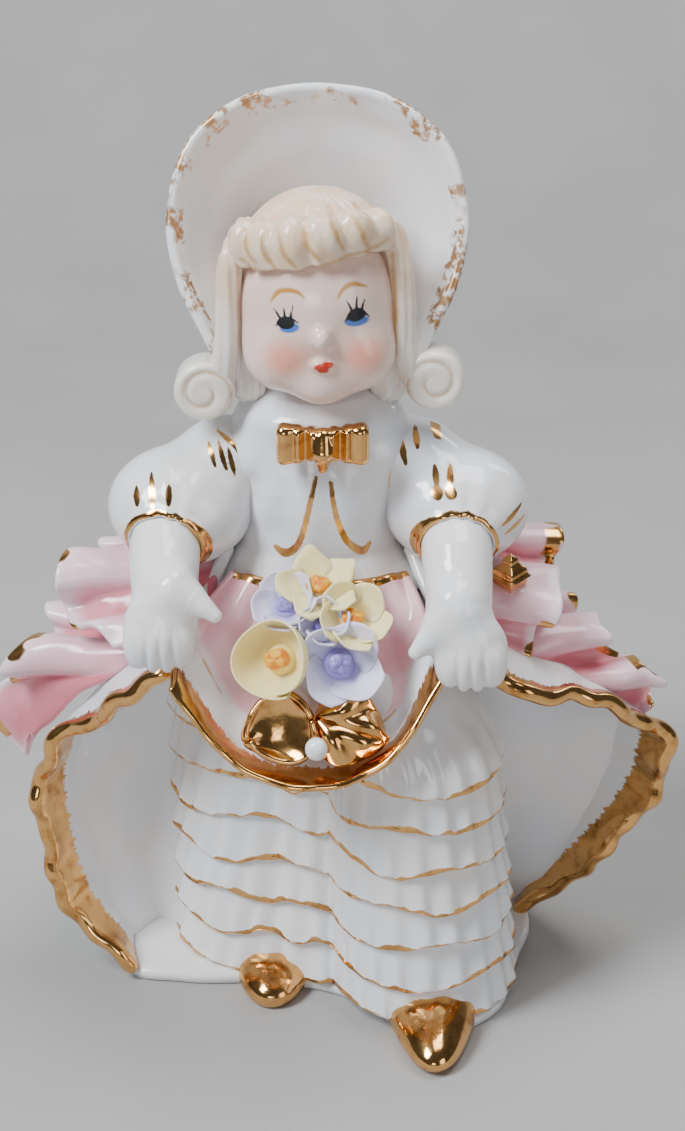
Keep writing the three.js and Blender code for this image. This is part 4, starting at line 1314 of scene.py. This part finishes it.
def frill(side, sign, tier):
    """A strip of clay pushed into deep, soft folds. On her right the lower one droops in front."""
    attached, free, pleats, depth, seed = FRILLS[tier]
    seed = 1.3 * sign + seed
    scale = arr(sign * (0.92 if sign < 0 else 1), 1, 1)
    u = np.linspace(0, 1, int(520 / COARSE))
    even = arc_length(catmull(free, u), 0) + 0.5 * arc_length(catmull(attached, u), 0)
    spaced = np.interp(u, even / even[-1], u)
    inner = catmull(np.array(attached) * scale, spaced)
    outer = catmull(np.array(free) * scale, spaced)
    tangent = unit(np.gradient(inner, axis=0))
    across = (outer - inner) * REACH[side]
    normal = unit(np.cross(tangent, across))
    uneven = 0.14 * np.sin(2 * np.pi * 2.3 * u + seed) + 0.35 * (sign < 0) * np.exp(-9 * u)
    phase = (2 * np.pi * (pleats * u + uneven))[:, None, None]
    v = np.linspace(0, 1, int(40 / COARSE))[None, :, None]
    size = depth * (1 + 0.25 * np.sin(0.61 * phase + 2 * seed))
    bulge = v**0.9
    middle = inner[:, None] + across[:, None] * v * (1 + 0.06 * np.sin(0.7 * phase + seed))
    middle = middle + normal[:, None] * size * bulge * np.sin(phase + 0.5 * v)
    middle = middle - tangent[:, None] * 0.46 * size * bulge * np.sin(2 * phase + 0.5)
    middle = middle + 0.6 * waves(middle, 9, int(10 + seed))[..., None] * normal[:, None] * v
    v = v[..., 0]
    if side == "right" and tier == "lower":
        droop(middle, u, v)
    points, faces, spread, face_side = shell(middle, lerp(1.5, 1.05, v), 3)
    crest = np.sin(phase[..., 0] + 0.3) + 0 * v
    return points, faces, {"edge": spread(v), "crest": spread(crest) * face_side}


def rose_glaze(paint):
    """Rose in the hollows of the folds, fading to pale lavender pink on their edges."""
    edge = paint.mark("edge")
    patch = paint.step(paint.noise(0.2, 3.0), 0.3, 0.7, -0.2, 0.2)
    hollow = paint.step(paint.math("ADD", paint.mark("crest"), patch), 0.75, -0.75)
    inner = paint.step(paint.math("ADD", edge, patch), 0.95, 0.1)
    deep = paint.math("MULTIPLY_ADD", hollow, 0.75, paint.math("MULTIPLY", inner, 0.4))
    rose = paint.mix(deep, (0.82, 0.56, 0.63), (0.68, 0.2, 0.25))
    pale = paint.step(edge, 0.86, 1.0, 0.0, 0.85)
    return paint.mix(pale, rose, (0.82, 0.69, 0.75))


def gilt_dabs(paint):
    near = paint.step(paint.mark("edge"), 0.87, 0.91)
    dab = paint.step(paint.noise(0.15, 1.0), 0.55, 0.58)
    return paint.math("MULTIPLY", near, dab)


frilled = glazed("rose_frill_glaze", rose_glaze, [(gilt_dabs, gold_tint, 1, 0.2)], 0.2)
for side, sign in SIDES:
    for tier in FRILLS:
        points, faces, marks = frill(side, sign, tier)
        nodes = [f"{side}_{tier}_ruffle"]
        make(f"{side}_{tier}_frill", points, faces, nodes, "pink_glaze", frilled, marks)


def bud_field(p):
    q = np.abs(p - arr(27.8, -8.8, 71.6))
    return q @ unit(arr(1, 0.8, 0.85)) - 2.1 + 0.12 * np.sin(q[..., 2] * 4)


model("left_bud_gilded", bud_field, (24.5, -12, 68), (31, -5, 75.5), 0.2, "left_gilt_bud",
      "bright_gold", gilt)


def back_bow_field(p):
    q = p - arr(0, 16.6, 77)
    wide = np.abs(q[..., 0])
    q[..., 2] = q[..., 2] / (0.55 + 0.075 * wide)
    loops = box_field(q, (0, 0, 0), (10, 1.4, 3.6), 1.1)
    loops = loops + 0.22 * np.cos(q[..., 2] * 2.4) * smoothstep(wide, 1, 3)
    knot = ball(p, (0, 17.4, 77), (2.4, 2, 2.6))
    return melt(loops, knot, 0.7)


def back_bow_marks(points):
    return {"edge": np.full(len(points), 0.6), "crest": np.zeros(len(points))}


model("waist_bow", back_bow_field, (-11.5, 13.5, 71.5), (11.5, 20.5, 82.5), 0.3, "back_bow",
      "pink_glaze", frilled, back_bow_marks)

# ---- Shoes ----
def shoe_field(x, heel, tip, half_width, height, pointed):
    def field(p):
        toe = np.clip((heel - p[..., 1]) / (heel - tip), 0, 1)
        width = half_width * (1 - pointed * smoothstep(toe, 0.45, 0.88))
        tall = height * (1 - 0.25 * toe)
        across = (p[..., 0] - x) / width
        along = (p[..., 1] - (heel + tip) / 2) / ((heel - tip) / 2)
        above = (p[..., 2] - 2) / np.where(p[..., 2] > 2, tall - 2, 4)
        k = np.linalg.norm(np.stack([across, along, above], -1), axis=-1)
        return np.maximum((k - 1) * min(half_width, height) * 0.8, 0.15 - p[..., 2])

    return field


SHOES = [
    # side, x, heel, tip, half width, height, how pointed, and the box that it is cut from
    ("left", 17.3, -5, -33.6, 7.0, 8.4, 0.16, (9, -34.5, -0.5), (26, -8.5, 9)),
    ("right", -7.6, -3, -17.4, 5.6, 6.6, 0.1, (-14, -18, -0.5), (-1, -3, 8)),
]
for side, *shape, low, high in SHOES:
    model(f"{side}_gilded_shoe", shoe_field(*shape), low, high, 0.3, f"{side}_shoe", "bright_gold", gilt)

# ---- Stage, light and camera ----
def backdrop():
    """A pale floor that sweeps up behind the object."""
    bend = 250
    profile = [(-900, 0), (300, 0)]
    for a in np.linspace(0, math.pi / 2, 25)[1:]:
        profile.append((300 + bend * math.sin(a), bend - bend * math.cos(a)))
    profile += [(550, 1500)]
    left = [(-1400, y, z) for y, z in profile]
    right = [(1400, y, z) for y, z in profile]
    count = len(profile)
    faces = [(i, i + 1, count + i + 1, count + i) for i in range(count - 1)]
    mesh = bpy.data.meshes.new("floor_sweep")
    mesh.from_pydata([tuple(c * MM for c in p) for p in left + right], [], faces)
    mesh.shade_smooth()
    sweep = bpy.data.objects.new("floor_sweep", mesh)
    bpy.context.scene.collection.objects.link(sweep)
    paint = Paint("pale_floor")
    patchy = paint.step(paint.noise(0.02, 3.0), 0.3, 0.7)
    tone = paint.mix(patchy, (0.34, 0.335, 0.33), (0.37, 0.365, 0.36))
    paint.put(tone, paint.shader.inputs["Base Color"])
    paint.shader.inputs["Roughness"].default_value = 0.6
    mesh.materials.append(paint.material)
    sweep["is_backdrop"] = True


def softbox(name, place, aim, size, power, colour=(1, 1, 1)):
    light = bpy.data.lights.new(name, "AREA")
    light.shape = "RECTANGLE"
    light.size, light.size_y = size
    light.energy = power
    light.color = colour
    lamp = bpy.data.objects.new(name, light)
    lamp.location = place
    lamp.rotation_euler = (Vector(aim) - Vector(place)).to_track_quat("-Z", "Y").to_euler()
    bpy.context.scene.collection.objects.link(lamp)


backdrop()
AIM = (0, 0, 0.07)
softbox("window", (-0.46, -0.3, 0.68), AIM, (0.22, 0.4), 10.5, (0.92, 0.96, 1.0))
softbox("fill", (0.6, -0.6, 0.3), AIM, (0.3, 0.5), 1.3, (1.0, 0.96, 0.92))
softbox("front", (-0.1, -0.8, 0.25), AIM, (0.3, 0.2), 1.0)
softbox("top", (0.15, 0.05, 0.8), AIM, (0.4, 0.4), 4.6)
softbox("rim", (0.45, 0.6, 0.4), AIM, (0.3, 0.5), 3)

world = bpy.data.worlds.new("studio")
world.use_nodes = True
sky = world.node_tree.nodes["Background"]
sky.inputs["Color"].default_value = (0.75, 0.8, 0.85, 1)
sky.inputs["Strength"].default_value = 0.12
bpy.context.scene.world = world

camera = bpy.data.objects.new("camera", bpy.data.cameras.new("camera"))
camera.data.lens = 63.66
camera.data.sensor_width = 36
camera.data.clip_start = 0.01
target = Vector((3.447, 0, 69.1)) * MM
distance = 0.3
tilt = math.radians(25)
camera.location = target + distance * Vector((0, -math.cos(tilt), math.sin(tilt)))
camera.rotation_euler = (math.pi / 2 - tilt, 0, 0)
bpy.context.scene.collection.objects.link(camera)
bpy.context.scene.camera = camera

[[list(map(float, corner)) for corner in box] for box in (CAD_BOX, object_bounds())]
